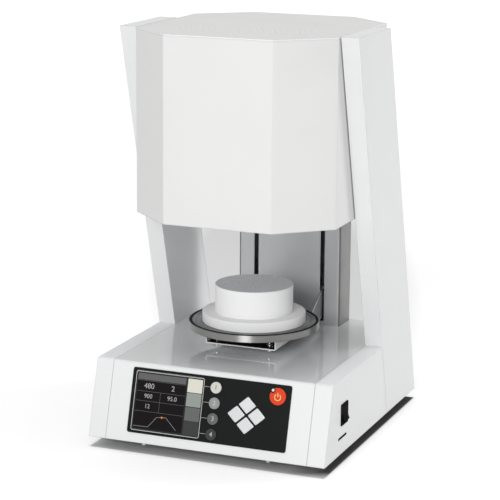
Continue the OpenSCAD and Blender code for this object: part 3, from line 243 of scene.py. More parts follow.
def tangent_round(nodes, links, shader, across, stretch):
    """Marks that run round Z and across the given vector, and stretch highlights."""
    tangent = nodes.new("ShaderNodeVectorMath")
    tangent.operation = "CROSS_PRODUCT"
    tangent.inputs[0].default_value = UPRIGHT
    links.new(across, tangent.inputs[1])
    links.new(tangent.outputs["Vector"], shader.inputs["Tangent"])
    shader.inputs["Anisotropic"].default_value = stretch
    shader.inputs["Anisotropic Rotation"].default_value = QUARTER_TURN


def turned_metal(name, tone, roughness, centre, ring, edge):
    """Metal turned about an upright axis at centre (x, y), with rings so many mm apart."""
    material, nodes, links, shader, place = new_finish(name, tone, roughness, 1.0)
    shift = nodes.new("ShaderNodeMapping")
    shift.inputs["Location"].default_value = (-centre[0], -centre[1], 0)
    links.new(place, shift.inputs["Vector"])
    rings = nodes.new("ShaderNodeTexWave")
    rings.wave_type = "RINGS"
    rings.rings_direction = "Z"
    rings.inputs["Scale"].default_value = 1 / (ring * MM * WAVES_PER_UNIT)
    rings.inputs["Distortion"].default_value = 1.5
    rings.inputs["Detail"].default_value = 2
    links.new(shift.outputs["Vector"], rings.inputs["Vector"])
    wear = mottle(nodes, links, place, WEAR_PATCHES)
    vary_tone(nodes, links, shader, wear, shade(tone, WEAR_SHADE), tone)
    highest = roughness + RING_ROUGHNESS
    vary_roughness(nodes, links, shader, rings.outputs["Fac"], roughness, highest)
    add_relief(nodes, links, shader, rings.outputs["Fac"], RING_DEPTH, edge)
    tangent_round(nodes, links, shader, shift.outputs["Vector"], 1.0)
    return material


TABLE_AXIS = (0.0, -0.020)
TOOL_MARKS = 7.54
# Painted reflection and sheen: the table's top steel is darkened for the dark things it mirrors, and
# its rim steel is made paler for a bright sheen.
table_steel_painted_reflection = turned_metal(
    "turned_table_painted_reflection", (0.23, 0.235, 0.24), 0.26, TABLE_AXIS, ring=TOOL_MARKS, edge=0.8
)
rim_steel_painted_sheen = turned_metal(
    "turned_rim_painted_sheen", (0.385, 0.38, 0.373), 0.3, TABLE_AXIS, ring=TOOL_MARKS, edge=0.8
)
chamber_steel = turned_metal(
    "chamber_steel", (0.6, 0.59, 0.58), 0.3, TABLE_AXIS, ring=12.57, edge=0.5
)
print("turned metals made, round the axis at", TABLE_AXIS)

# %% [markdown]
# ### Sheet, zinc, aluminium and brass
# Zinc-plated sheet shows cloudy patches, and drawn or milled metal a very fine grain.
# Both come from noise, coarse for the patches and fine for the grain. The column's
# sheet is brushed level as well. There the cross product takes Z and the face's own
# normal, so the lines lie level on every side of the column.

# %% Sheet and drawn metal
DRAWN_EDGE = 0.5
CLOUD_SHADE = 0.78
HAZE_PER_CLOUD = 3
SMOOTHER, ROUGHER = 0.06, 0.1


def plated_metal(name, tone, roughness, patch, grain, depth):
    """Sheet or drawn metal: cloudy patches and a fine grain."""
    material, nodes, links, shader, place = new_finish(name, tone, roughness, 1.0)
    clouds = mottle(nodes, links, place, patch)
    vary_tone(nodes, links, shader, clouds, shade(tone, CLOUD_SHADE), tone)
    haze = mottle(nodes, links, place, patch * HAZE_PER_CLOUD)
    vary_roughness(nodes, links, shader, haze, roughness - SMOOTHER, roughness + ROUGHER)
    add_relief(nodes, links, shader, mottle(nodes, links, place, grain, 4), depth, DRAWN_EDGE)
    return material


def brush_across(material):
    """Level brush lines: they stretch every reflection up and down."""
    nodes, links = material.node_tree.nodes, material.node_tree.links
    shader = nodes["Principled BSDF"]
    shader.inputs["Metallic"].default_value = 0.85
    surface = nodes.new("ShaderNodeNewGeometry")
    tangent_round(nodes, links, shader, surface.outputs["Normal"], 0.8)


column_steel = plated_metal(
    "satin_column_steel", (0.84, 0.855, 0.875), roughness=0.4, patch=3, grain=3000, depth=0.004
)
brush_across(column_steel)
# Painted shade: a darker copy of the satin steel for faces that stand in shade.
painted_shade_steel = plated_metal(
    "satin_steel_painted_shade", (0.36, 0.36, 0.355), roughness=0.5, patch=8, grain=3000, depth=0.004
)
zinc = plated_metal(
    "zinc_plated_sheet", (0.6, 0.61, 0.63), roughness=0.38, patch=45, grain=1500, depth=0.01
)
ground_steel = plated_metal(
    "ground_steel", (0.58, 0.58, 0.6), roughness=0.24, patch=25, grain=4000, depth=0.004
)
milled_aluminium = plated_metal(
    "milled_aluminium", (0.76, 0.77, 0.78), roughness=0.34, patch=20, grain=2500, depth=0.01
)
turned_brass = plated_metal(
    "turned_brass", (0.72, 0.53, 0.24), roughness=0.28, patch=30, grain=3000, depth=0.006
)
heater_wire = plated_metal(
    "oxidised_heater_wire", (0.2, 0.15, 0.13), roughness=0.55, patch=300, grain=3000, depth=0.03
)
print("sheet and drawn metals made")

# %% [markdown]
# ### Ceramics and insulation
# The firing block is a light ceramic, white and slightly chalky, and its top is a
# pale grey surface full of fine specks. Specks are small cells of a Voronoi
# texture that are cut off hard, so that only the cell centres stay dark.

# %% Make the ceramics
PAD_GRAIN = 700
PAD_EDGE = 0.8
SPECK_CORE = 0.7


def speckled(name, tone, speck, size, share, roughness, depth):
    """Dark specks, size mm apart, that take up to the given share of a cell."""
    material, nodes, links, shader, place = new_finish(name, tone, roughness)
    cells = nodes.new("ShaderNodeTexVoronoi")
    cells.inputs["Scale"].default_value = 1 / (size * MM)
    links.new(place, cells.inputs["Vector"])
    from_core = cells.outputs["Distance"]
    vary_tone(nodes, links, shader, from_core, speck, tone, share * SPECK_CORE, share)
    add_relief(nodes, links, shader, mottle(nodes, links, place, PAD_GRAIN, 4), depth, PAD_EDGE)
    return material


firing_surface = speckled(
    "speckled_firing_surface", (0.74, 0.76, 0.79), speck=(0.42, 0.43, 0.45),
    size=2.2, share=0.32, roughness=0.85, depth=0.1,
)
block_ceramic = coated(
    "white_block_ceramic", (0.93, 0.93, 0.93), roughness=0.8,
    grain=800, depth=0.12, edge=1.2, mirror=0.3,
)
muffle_fibre = coated(
    "muffle_fibre_board", (0.84, 0.82, 0.77), roughness=0.95,
    grain=350, depth=0.4, edge=1.0, unevenness=0.12,
)
print("ceramics made")

# %% [markdown]
# ### Quartz
# The tube inside the chamber is fused quartz, milky from the heat. Transmission lets
# light through, and the roughness that changes from place to place makes it cloudy.
# A thin mist inside the glass would be truer, but it takes far longer to render.

# %% Make the frosted quartz
quartz, quartz_nodes, quartz_links, quartz_shader, quartz_place = new_finish(
    "frosted_quartz", (0.93, 0.95, 0.96), roughness=0.22
)
quartz_shader.inputs["Transmission Weight"].default_value = 0.85
quartz_shader.inputs["IOR"].default_value = 1.46
cloud = mottle(quartz_nodes, quartz_links, quartz_place, 80)
vary_roughness(quartz_nodes, quartz_links, quartz_shader, cloud, low=0.14, high=0.3)
print("quartz made")

# %% [markdown]
# ### Plastics, rubber and film
# Mouldings have a spark-eroded grain. The control panel's film is smoother, with
# a satin top coat. Black parts look black only when they mirror little, so their
# mirror value is low.

# %% Make the plastics
black_plastic = coated(
    "black_moulding", (0.006, 0.005, 0.006), roughness=0.5,
    grain=1600, depth=0.04, edge=0.7, unevenness=0.2, mirror=0.06,
)
black_plastic.node_tree.nodes["Principled BSDF"].inputs["IOR"].default_value = 1.2
# Partly painted shade: a black for the tray's floor, partly its own dark coat and partly the shade of
# the table above it.
tray_black_painted_shade = coated(
    "tray_dark_coat_and_painted_shade", (0.012, 0.012, 0.013), roughness=0.6,
    grain=1200, depth=0.05, edge=0.8, unevenness=0.2, mirror=0.2,
)
black_rubber = coated(
    "black_rubber", (0.016, 0.016, 0.016), roughness=0.8,
    grain=900, depth=0.08, edge=0.6, unevenness=0.25, mirror=0.2,
)
panel_film = coated(
    "black_panel_film", (0.0085, 0.0105, 0.0095), roughness=0.3,
    grain=2500, depth=0.01, edge=0.4, unevenness=0.15, mirror=0.12,
)
winding_tape = coated(
    "winding_tape", (0.03, 0.03, 0.036), roughness=0.5,
    grain=260, depth=0.3, edge=0.8, unevenness=0.3,
)
lamp_lens = coated(
    "milky_lamp_lens", (0.86, 0.87, 0.86), roughness=0.2,
    grain=900, depth=0.02, edge=0.3,
)
screen_glass = coated(
    "screen_glass", (0.03, 0.033, 0.033), roughness=0.16,
    grain=2500, depth=0.004, edge=0.3, mirror=0.15,
)
print("plastics made")

# %% [markdown]
# ### Key films
# The keys are the same kind of film over hard caps. The four round ones go from pale
# to dark like the boxes on the screen that they belong to. The diamond keys have a
# silver lacquer, which is half metal.

# %% Make the key films


def key_film(name, tone):
    return coated(
        name, tone, roughness=0.38,
        grain=2200, depth=0.015, edge=0.6, unevenness=0.05, mirror=0.25,
    )


ROUND_KEY_TONES = {
    "key_1": (0.66, 0.65, 0.6),
    "key_2": (0.3, 0.32, 0.31),
    "key_3": (0.13, 0.135, 0.135),
    "key_4": (0.04, 0.043, 0.042),
}
round_key_films = {name: key_film(name + "_film", tone) for name, tone in ROUND_KEY_TONES.items()}
orange_film = key_film("orange_key_film", (0.74, 0.052, 0.008))
silver_film = coated(
    "silver_key_lacquer", (0.7, 0.71, 0.72), roughness=0.34,
    grain=2200, depth=0.02, edge=1.2, metallic=0.6,
)
print(len(round_key_films) + 2, "key finishes made")

# %% [markdown]
# ### Circuit board
# A board is green solder mask over copper tracks. The tracks come from a Brick
# texture with thin mortar: the mortar lines are the gaps between copper areas.

# %% Make the circuit board finish
board_green, board_nodes, board_links, board_shader, board_place = new_finish(
    "solder_mask", (0.02, 0.13, 0.06), roughness=0.3
)
tracks = board_nodes.new("ShaderNodeTexBrick")
tracks.inputs["Scale"].default_value = 120
tracks.inputs["Mortar Size"].default_value = 0.03
tracks.inputs["Color1"].default_value = (0.02, 0.15, 0.07, 1)
tracks.inputs["Color2"].default_value = (0.03, 0.19, 0.09, 1)
tracks.inputs["Mortar"].default_value = (0.01, 0.07, 0.035, 1)
board_links.new(board_place, tracks.inputs["Vector"])
board_links.new(tracks.outputs["Color"], board_shader.inputs["Base Color"])
print("board finish made")

# %% [markdown]
# ## Give each solid its finish
# The CAD solids already have the right shapes, so they only take a material.
# One table keeps it readable: the finish, then every solid that wears it.

# %% Hand out the finishes
WEARS = [
    (casing_white, "front_cover base_side_left base_side_right wing_left wing_right"),
    (casing_white, "rear_panel lift_bracket"),
    # Painted light: the wing plates get the whiter coat for the bounce light they catch.
    (painted_light_white, "wing_plates"),
    (column_steel, "column_cover"),
    (head_white, "head_shell"),
    (lid_grey, "head_lid"),
    (zinc, "base_pan column_frame screw_plates head_floor cover_screws"),
    (ground_steel, "guide_rods screw_bearings lead_screw screw_pulley motor_pulley"),
    (ground_steel, "float_screws float_springs"),
    (table_steel_painted_reflection, "table_plate"),
    (chamber_steel, "seal_ring vacuum_shell"),
    (milled_aluminium, "lift_carriage"),
    (turned_brass, "lift_nut hose_spigot"),
    (black_rubber, "feet table_seal drive_belt"),
    (black_plastic, "lift_motor switch_frame switch_rocker mains_inlet"),
    (black_plastic, "fan_frame fan_rotor card_reader"),
    (winding_tape, "transformer"),
    (block_ceramic, "table_flange firing_block thermocouple"),
    (muffle_fibre, "muffle_insulation"),
    (firing_surface, "firing_pad"),
    (quartz, "quartz_tube"),
    (heater_wire, "heating_coil"),
    (panel_film, "control_overlay"),
    (screen_glass, "display"),
    (lamp_lens, "status_lamp"),
    (board_green, "circuit_boards"),
    (silver_film, "key_up key_down key_left key_right"),
    (orange_film, "start_key"),
]
for name, film in round_key_films.items():
    WEARS.append((film, name))

dressed = set()
for finish, names in WEARS:
    for name in names.split():
        solid = solids[name]
        solid.data.materials.clear()
        solid.data.materials.append(finish)
        for face in solid.data.polygons:
            face.material_index = 0
        dressed.add(name)
print("without a finish:", sorted(set(solids) - dressed))

# %% [markdown]
# ### Two finishes on one solid
# A mesh object holds a list of materials, and every face says by number which one it
# wears. So the deck gets its gloss without any new shape. The tray's floor gets a black
# that is partly its own dark coat and partly painted shade from the table above it.
# The lid's rim gets a near-white that paints a highlight along its edge, and the side
# covers' top faces a whiter coat that paints the light falling on them. The table's rim
# gets a paler steel than its top, a painted sheen. The column's folded sides and the
# bracket's gussets, which stand in shade, get a darker steel that paints that shade.
# The faces are found by where they look: a normal is 1 long, so a part of it near 1
# means that the face looks that way.

# %% Give some faces a second finish
FACING = 0.9
RIM_TILT = 0.3
FOLD_TURN = 0.2
LID_SLOPE = 0.5
GUSSET_SIDES_FROM = 90 * MM
GUSSET_EDGES_FROM = 80 * MM
GUSSET_RISE = 0.05


def second_finish(name, finish, chosen):
    solid = solids[name]
    solid.data.materials.append(finish)
    slot = len(solid.data.materials) - 1
    count = 0
    for face in solid.data.polygons:
        if chosen(face):
            face.material_index = slot
            count += 1
    print(name, "has", count, "faces in", finish.name)


def looks_up(face):
    return face.normal.z > FACING


def is_gusset_side(face):
    return abs(face.normal.x) > FACING and face.center.y > GUSSET_SIDES_FROM


def is_gusset_edge(face):
    return GUSSET_RISE < face.normal.z < FACING and face.center.y > GUSSET_EDGES_FROM


second_finish("front_cover", deck_gloss, looks_up)
# Partly painted shade: the tray's up-facing faces get the black.
second_finish("lift_bracket", tray_black_painted_shade, looks_up)
# Painted shade: the gussets' sides and edges get the darker steel.
second_finish("lift_bracket", painted_shade_steel, is_gusset_side)
second_finish("lift_bracket", painted_shade_steel, is_gusset_edge)
# Painted sheen: the table's rim gets the paler steel.
second_finish("table_plate", rim_steel_painted_sheen, lambda face: abs(face.normal.z) < RIM_TILT)
# Painted shade: the column's folds and sides get the darker steel.
second_finish("column_cover", painted_shade_steel, lambda face: abs(face.normal.x) > FOLD_TURN)
# Painted highlight: the lid's edge faces get the near-white coat.
second_finish("head_lid", painted_highlight_rim, lambda face: face.normal.z < LID_SLOPE)
# Painted light: the side covers' top faces get the whiter coat.
second_finish("base_side_left", painted_light_white, looks_up)
second_finish("base_side_right", painted_light_white, looks_up)

# %% [markdown]
# ## Draw on the sloping front
# The control panel leans back, so flat pieces on it need a frame of their own:
# X across, S up the slope and N out of the sheet, all in millimetres. A helper turns
# such a point into a point in the room. The pieces could also be drawn flat and
# turned afterwards, but then their numbers would say less about where they end up.

# %% The panel's own frame
LEAN = math.radians(16)
ACROSS = Vector((1, 0, 0))
UP_SLOPE = Vector((0, math.sin(LEAN), math.cos(LEAN)))
OUT = Vector((0, -math.cos(LEAN), math.sin(LEAN)))
SLOPE_FOOT = Vector((0, -190.5, 14)) * MM
FILM_TOP = 0.8


def on_slope(x, s, n):
    return SLOPE_FOOT + (ACROSS * x + UP_SLOPE * s + OUT * n) * MM


film_low, film_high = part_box("control_overlay")
print("film is", round((film_high.x - film_low.x) / MM, 1), "mm wide")

# %% [markdown]
# ### Objects and meshes
# A mesh holds points and faces, and an object puts it into the room. The bmesh
# module builds the mesh, because it can turn all faces outward.

# %% Objects and meshes


def add_object(name, data):
    thing = bpy.data.objects.new(name, data)
    bpy.context.scene.collection.objects.link(thing)
    return thing


def new_piece(name, mesh, material, body):
    mesh.materials.append(material)
    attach(add_object(name, mesh), body)


def mesh_from(name, build):
    shape = bmesh.new()
    build(shape)
    bmesh.ops.recalc_face_normals(shape, faces=shape.faces)
    mesh = bpy.data.meshes.new(name)
    shape.to_mesh(mesh)
    shape.free()
    return mesh


print("helpers for objects ready")

# %% [markdown]
# ### Plates and rings
# Print on a panel is a very thin layer. So each mark is a real plate: its outline once
# below, once above, and side faces between them. A ring has four such loops, two
# outer and two inner ones, with faces from each loop to the next.

# %% A thin plate and a thin ring on the slope


def slope_plate(name, outline, low, high, material, body="housing"):
    def build(shape):
        bottom = [shape.verts.new(on_slope(x, s, low)) for x, s in outline]
        top = [shape.verts.new(on_slope(x, s, high)) for x, s in outline]
        shape.faces.new(bottom)
        shape.faces.new(top)
        for i in range(len(outline)):
            j = (i + 1) % len(outline)
            shape.faces.new((bottom[i], bottom[j], top[j], top[i]))

    new_piece(name, mesh_from(name, build), material, body)


def slope_ring(name, outer, inner, low, high, material):
    def build(shape):
        loops = [
            [shape.verts.new(on_slope(x, s, n)) for x, s in outline]
            for outline, n in ((outer, low), (outer, high), (inner, high), (inner, low))
        ]
        for k in range(len(loops)):
            here, there = loops[k], loops[(k + 1) % len(loops)]
            for i in range(len(outer)):
                j = (i + 1) % len(outer)
                shape.faces.new((here[i], here[j], there[j], there[i]))

    new_piece(name, mesh_from(name, build), material, "housing")


print("panel plates start", FILM_TOP, "mm above the sheet")

# %% [markdown]
# ### Outlines
# Every outline on the panel is made of arcs: a disc is one full arc, and a rounded box
# is four quarter arcs that straight edges join.

# %% Outlines
DISC_STEPS = 40


def arc(x, s, r, start, sweep, steps):
    """Points on an arc, both ends included, with its angles in degrees."""
    angles = [math.radians(start + sweep * k / steps) for k in range(steps + 1)]
    return [(x + r * math.cos(a), s + r * math.sin(a)) for a in angles]


def disc(x, s, r):
    """A full circle, without the last point of the arc, which repeats the first."""
    return arc(x, s, r, 0, 360, DISC_STEPS)[:-1]


def rounded_box(x0, s0, x1, s1, r, steps=5):
    corners = [(x1 - r, s1 - r), (x0 + r, s1 - r), (x0 + r, s0 + r), (x1 - r, s0 + r)]
    points = []
    for quarter, (x, s) in enumerate(corners):
        points += arc(x, s, r, 90 * quarter, 90, steps)
    return points


print("a rounded box has", len(rounded_box(0, 0, 9, 9, 1)), "points")

# %% [markdown]
# ## The screen picture
# The screen is a grey graphic display: a thin pale frame, a title bar, three rows of
# values, a curve of the firing program and four boxes that belong to the four keys.
# All of it is drawn as plates a few hundredths of a millimetre thick that lie on the
# glass. A picture on the glass would be quicker, but plates stay sharp at any
# distance. A lit display shines a little, so each ink has some emission.

# %% Finishes of the screen picture
PIXEL_GRAIN = 2500
PIXEL_SHADE = 0.93


def lit_ink(name, tone, glow):
    """Screen ink: it shines a little by itself, as a lit display does."""
    material, nodes, links, shader, place = new_finish(name, tone, 0.3)
    shader.inputs["Specular IOR Level"].default_value = 0.1
    grain = mottle(nodes, links, place, PIXEL_GRAIN, 1)
    vary_tone(nodes, links, shader, grain, shade(tone, PIXEL_SHADE), tone, low=0.3, high=0.7)
    shader.inputs["Emission Color"].default_value = (*tone, 1)
    shader.inputs["Emission Strength"].default_value = glow
    return material


ink_pale = lit_ink("screen_pale_ink", (0.56, 0.57, 0.56), 0.1)
ink_value = lit_ink("screen_value_ink", (0.42, 0.41, 0.4), 0.1)
ink_title = lit_ink("screen_title_ink", (0.12, 0.12, 0.123), 0.12)
ink_field = lit_ink("screen_field_ink", (0.008, 0.006, 0.0075), 0.05)
ink_line = lit_ink("screen_line_ink", (0.13, 0.13, 0.13), 0.1)
ink_curve = lit_ink("screen_curve_ink", (0.3, 0.29, 0.29), 0.1)
ink_orange = lit_ink("screen_orange_ink", (0.75, 0.2, 0.03), 0.2)
key_box_inks = [
    lit_ink("screen_box_ink_1", (0.68, 0.67, 0.58), 0.1),
    lit_ink("screen_box_ink_2", (0.29, 0.32, 0.29), 0.08),
    lit_ink("screen_box_ink_3", (0.14, 0.142, 0.142), 0.05),
    lit_ink("screen_box_ink_4", (0.05, 0.055, 0.05), 0.03),
]
print(len(key_box_inks), "inks for the key boxes")

# %% [markdown]
# ### Frame and field
# The pale frame is a ring, and the dark field is one plate inside it. Layers that lie
# on one another each start at the top of the one below, because two tops at the same
# height would flicker.

# %% The screen's frame and its dark field
INK_THICK = 0.03
FIRST_INK = FILM_TOP + INK_THICK
SECOND_INK = FIRST_INK + INK_THICK
THIRD_INK = SECOND_INK + INK_THICK
SCREEN_LEFT, SCREEN_RIGHT = -106, -9.2
SCREEN_FOOT, SCREEN_TOP = 16.2, 93.8
SCREEN_ROUND = 2.4
EDGE_LINE = 0.7
EDGE_HEIGHT = 0.08
FIELD = (-103.4, 19.2, -34, 91.6)
FIELD_ROUND = 0.8


def screen_outline(inset):
    """The screen's outline, made smaller all round."""
    left, right = SCREEN_LEFT + inset, SCREEN_RIGHT - inset
    return rounded_box(left, SCREEN_FOOT + inset, right, SCREEN_TOP - inset, SCREEN_ROUND - inset)


slope_ring(
    "screen_edge", screen_outline(0), screen_outline(EDGE_LINE),
    FILM_TOP, FILM_TOP + EDGE_HEIGHT, ink_pale,
)
slope_plate("screen_field", rounded_box(*FIELD, FIELD_ROUND), FILM_TOP, FIRST_INK, ink_field)
print("screen is", SCREEN_RIGHT - SCREEN_LEFT, "mm wide")

# %% [markdown]
# ### Title bar, rows and key boxes
# Thin lines part the rows of values, and an upright line parts two columns. On the
# right stand the four boxes, each about level with its key. What repeats is drawn by
# a loop.

# %% Title bar, rows and key boxes
ROW_LEFT, ROW_RIGHT = -103, -34.6
ROW_LINES = (82, 68.1, 55.4, 41.9)
TITLE_FOOT, TITLE_TOP = 83, 91.2
TITLE_ROUND = 0.6
DIVIDER = -69
DIVIDER_FOOT, DIVIDER_TOP = 42, 68.2
LINE = 0.4
LINE_ROUND = 0.15
BOX_LEFT, BOX_RIGHT = -32, -11.4
KEY_BOXES = ((73.8, 91.4), (55.5, 73), (37, 54.5), (18.5, 36.5))


def level_line(name, x0, x1, s, low, ink):
    outline = rounded_box(x0, s - LINE / 2, x1, s + LINE / 2, LINE_ROUND, 2)
    slope_plate(name, outline, low, low + INK_THICK, ink)


title_bar = rounded_box(ROW_LEFT, TITLE_FOOT, ROW_RIGHT, TITLE_TOP, TITLE_ROUND)
slope_plate("screen_title_bar", title_bar, FIRST_INK, SECOND_INK, ink_title)
for row, s in enumerate(ROW_LINES, 1):
    level_line("screen_row_line_%d" % row, ROW_LEFT, ROW_RIGHT, s, FIRST_INK, ink_line)
divider_left, divider_right = DIVIDER - LINE / 2, DIVIDER + LINE / 2
divider = rounded_box(divider_left, DIVIDER_FOOT, divider_right, DIVIDER_TOP, LINE_ROUND, 2)
slope_plate("screen_divider", divider, FIRST_INK, SECOND_INK, ink_line)
for n, ((low, high), ink) in enumerate(zip(KEY_BOXES, key_box_inks), 1):
    key_box = rounded_box(BOX_LEFT, low, BOX_RIGHT, high, FIELD_ROUND)
    slope_plate("screen_key_box_%d" % n, key_box, FILM_TOP, FIRST_INK, ink)
print(len(ROW_LINES), "row lines and", len(KEY_BOXES), "key boxes drawn")

# %% [markdown]
# ### The program curve
# The curve shows how the furnace heats, holds and cools, and a dot marks where it is
# now. Each stretch of the curve is a narrow strip: two points on either side of its
# start and two on either side of its end, a little past it, so that no gap opens.

# %% The curve of the firing program
CURVE = [(-103, 22), (-82, 22.2), (-70.8, 35.9), (-58, 37), (-42.4, 22.4)]
CURVE_HALF = 0.25
MARKER = (-63.5, 36.5)
MARKER_RADIUS = 1.3
for n, ends in enumerate(zip(CURVE, CURVE[1:]), 1):
    start, end = (Vector(point) for point in ends)
    run = (end - start).normalized() * CURVE_HALF
    side = Vector((-run.y, run.x))
    strip = [start + side, start - side, end + run - side, end + run + side]
    slope_plate("program_curve_%d" % n, strip, FIRST_INK, SECOND_INK, ink_curve)
slope_plate("program_marker", disc(*MARKER, MARKER_RADIUS), SECOND_INK, THIRD_INK, ink_orange)
print(len(CURVE) - 1, "parts of the curve")

# %% [markdown]
# ### Numbers
# Numbers are text objects, and the values are generic ones. Blender's own font is
# plain, and a text object takes a matrix like any other, so the panel's three
# directions become its axes. A figure is lower than the size of its text, so the
# size is worked out from the height.

# %% Write numbers on the slope
SIZE_PER_HEIGHT = 1.4
PRINT_THICK = 0.02


def slope_text(name, words, x, s, height, n, material, body="housing"):
    text = bpy.data.curves.new(name, "FONT")
    text.body = words
    text.size = height * MM * SIZE_PER_HEIGHT
    text.align_x = "CENTER"
    text.align_y = "CENTER"
    text.extrude = PRINT_THICK * MM
    text.materials.append(material)
    piece = add_object(name, text)
    turn = Matrix((ACROSS, UP_SLOPE, OUT)).transposed().to_4x4()
    piece.matrix_world = Matrix.Translation(on_slope(x, s, n)) @ turn
    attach(piece, body)


LEFT_VALUE, RIGHT_VALUE = -86, -52
TOP_ROW, MIDDLE_ROW, LOW_ROW = 75, 61.8, 48.7
TALL, SHORT = 7, 5.6
SCREEN_VALUES = [
    ("480", LEFT_VALUE, TOP_ROW, TALL),
    ("2", RIGHT_VALUE, TOP_ROW, TALL),
    ("900", LEFT_VALUE, MIDDLE_ROW, SHORT),
    ("95.0", RIGHT_VALUE, MIDDLE_ROW, SHORT),
    ("12", LEFT_VALUE, LOW_ROW, SHORT),
]
for number, (words, x, s, height) in enumerate(SCREEN_VALUES, 1):
    slope_text("screen_value_%d" % number, words, x, s, height, THIRD_INK, ink_value)
print(len(SCREEN_VALUES), "values")

# %% [markdown]
# ## Key marks
# A thin line leads from each box on the screen to its key, and the keys carry plain
# numbers. Marks on a key ride with that key's body, so that they go down with it when
# it is pressed.

# %% Leader lines and key numbers


def print_ink(name, tone):
    return coated(name, tone, roughness=0.5, grain=2500, depth=0.01, edge=0.2)


mark_pale = print_ink("pale_print", (0.62, 0.62, 0.58))
mark_dark = print_ink("dark_print", (0.05, 0.05, 0.05))
mark_yellow = print_ink("yellow_print", (0.9, 0.62, 0.25))
KEY_TOP = FILM_TOP + 1.3
LEADER_LEFT, LEADER_RIGHT = -8.6, -0.4
KEY_X = 7.7
TOP_KEY_S = 84.0
KEY_PITCH = 20.2
NUMBER_HEIGHT = 6
NUMBER_LEVEL = KEY_TOP + PRINT_THICK
for key in range(1, 5):
    s = TOP_KEY_S - KEY_PITCH * (key - 1)
    level_line("leader_line_%d" % key, LEADER_LEFT, LEADER_RIGHT, s, FILM_TOP, mark_pale)
    mark = mark_dark if key == 1 else mark_pale
    name, body = "key_number_%d" % key, "button_key_%d" % key
    slope_text(name, str(key), KEY_X, s, NUMBER_HEIGHT, NUMBER_LEVEL, mark, body)
print("four keys marked")

# %% [markdown]
# ### The start key's sign
# The start key has the usual sign, an open ring with a bar in the gap. The ring is one
# outline: the outer arc one way and the inner arc back.

# %% The start key's sign
START_X, START_S = 93.1, 82.6
RING_S = START_S - 1
RING_OUTER, RING_INNER = 4.6, 3.5
RING_FROM, RING_SWEEP, RING_STEPS = 125, 290, 32
BAR_HALF = 0.6
BAR_FOOT, BAR_TOP = START_S - 0.6, START_S + 4.8
BAR_ROUND = 0.4
SIGN_TOP = KEY_TOP + 0.04
outer_arc = arc(START_X, RING_S, RING_OUTER, RING_FROM, RING_SWEEP, RING_STEPS)
inner_arc = arc(START_X, RING_S, RING_INNER, RING_FROM, RING_SWEEP, RING_STEPS)
open_ring = outer_arc + inner_arc[::-1]
slope_plate("start_sign_ring", open_ring, KEY_TOP, SIGN_TOP, mark_yellow, "button_start")
bar = rounded_box(START_X - BAR_HALF, BAR_FOOT, START_X + BAR_HALF, BAR_TOP, BAR_ROUND, 3)
slope_plate("start_sign_bar", bar, KEY_TOP, SIGN_TOP, mark_yellow, "button_start")
print("start sign drawn")

# %% [markdown]
# ## Wound wire
# The CAD model's springs and heating coil are wound from a six-sided wire, which is
# enough for collision. A curve with a round bevel gives the smooth wire that the
# eye expects. The curve is then turned into a mesh.

# %% Wind a smooth wire


def wound_wire(name, centre, radius, low, high, turns, wire, material, steps=24):
    """A helix that rises straight for one wire's width at both ends."""
    curve = bpy.data.curves.new(name, "CURVE")
    curve.dimensions = "3D"
    curve.bevel_depth = wire / 2
    curve.bevel_resolution = 4
    curve.use_fill_caps = True
    count = turns * steps
    points = [(radius, 0, low)]
    for k in range(count + 1):
        a = math.tau * k / steps
        z = low + wire + (high - low - 2 * wire) * k / count
        points.append((radius * math.cos(a), radius * math.sin(a), z))
    points.append((radius, 0, high))
    spline = curve.splines.new("POLY")
    spline.points.add(len(points) - 1)
    for point, (x, y, z) in zip(spline.points, points):
        point.co = (centre[0] + x, centre[1] + y, z, 1)
    temporary = add_object(name + "_curve", curve)
    graph = bpy.context.evaluated_depsgraph_get()
    mesh = bpy.data.meshes.new_from_object(temporary.evaluated_get(graph))
    bpy.data.objects.remove(temporary)
    for face in mesh.polygons:
        face.use_smooth = True
    mesh.materials.append(material)
    return add_object(name, mesh)


print("wire winder ready")

# %% [markdown]
# ### The float springs
# Four springs carry the table, so that it can give way when it meets the head. They
# sit between the tray and the table. Their height comes from the CAD solid.

# %% The float springs
SPRING_SPREAD = 38 * MM
SPRING_RADIUS = 4.4 * MM
SPRING_WIRE = 1.2 * MM
SPRING_TURNS = 5
spring_low, spring_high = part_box("float_springs")
for n, (x_side, y_side) in enumerate(((-1, -1), (1, -1), (-1, 1), (1, 1)), 1):
    x = TABLE_AXIS[0] + SPRING_SPREAD * x_side
    y = TABLE_AXIS[1] + SPRING_SPREAD * y_side
    spring = wound_wire(
        "float_spring_%d" % n, (x, y), SPRING_RADIUS,
        spring_low.z, spring_high.z, SPRING_TURNS, SPRING_WIRE, ground_steel,
    )
    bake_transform(spring)
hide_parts("float_springs")
print("springs", round(spring_low.z / MM, 1), "to", round(spring_high.z / MM, 1), "mm")

# %% [markdown]
# ### The heating coil
# The coil of oxidised wire stands round the quartz tube and glows when the furnace
# fires. It is wound like a spring, but stands still, so it rides with the housing.

# %% The heating coil
COIL_WIRE = 2.4 * MM
COIL_TURNS = 8
COIL_STEPS = 48
coil_low, coil_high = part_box("heating_coil")
coil_radius = (coil_high.x - coil_low.x - COIL_WIRE) / 2
coil = wound_wire(
    "heating_coil_wire", TABLE_AXIS, coil_radius,
    coil_low.z, coil_high.z, COIL_TURNS, COIL_WIRE, heater_wire, COIL_STEPS,
)
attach(coil, "housing")
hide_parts("heating_coil")
print("coil radius", round(coil_radius / MM, 1), "mm")

# %% [markdown]
# ## Camera
# The camera was worked out from the picture: its place, its direction and its field
# of view. The three direction vectors are the columns of the camera's rotation,
# because a Blender camera looks along its own minus Z.

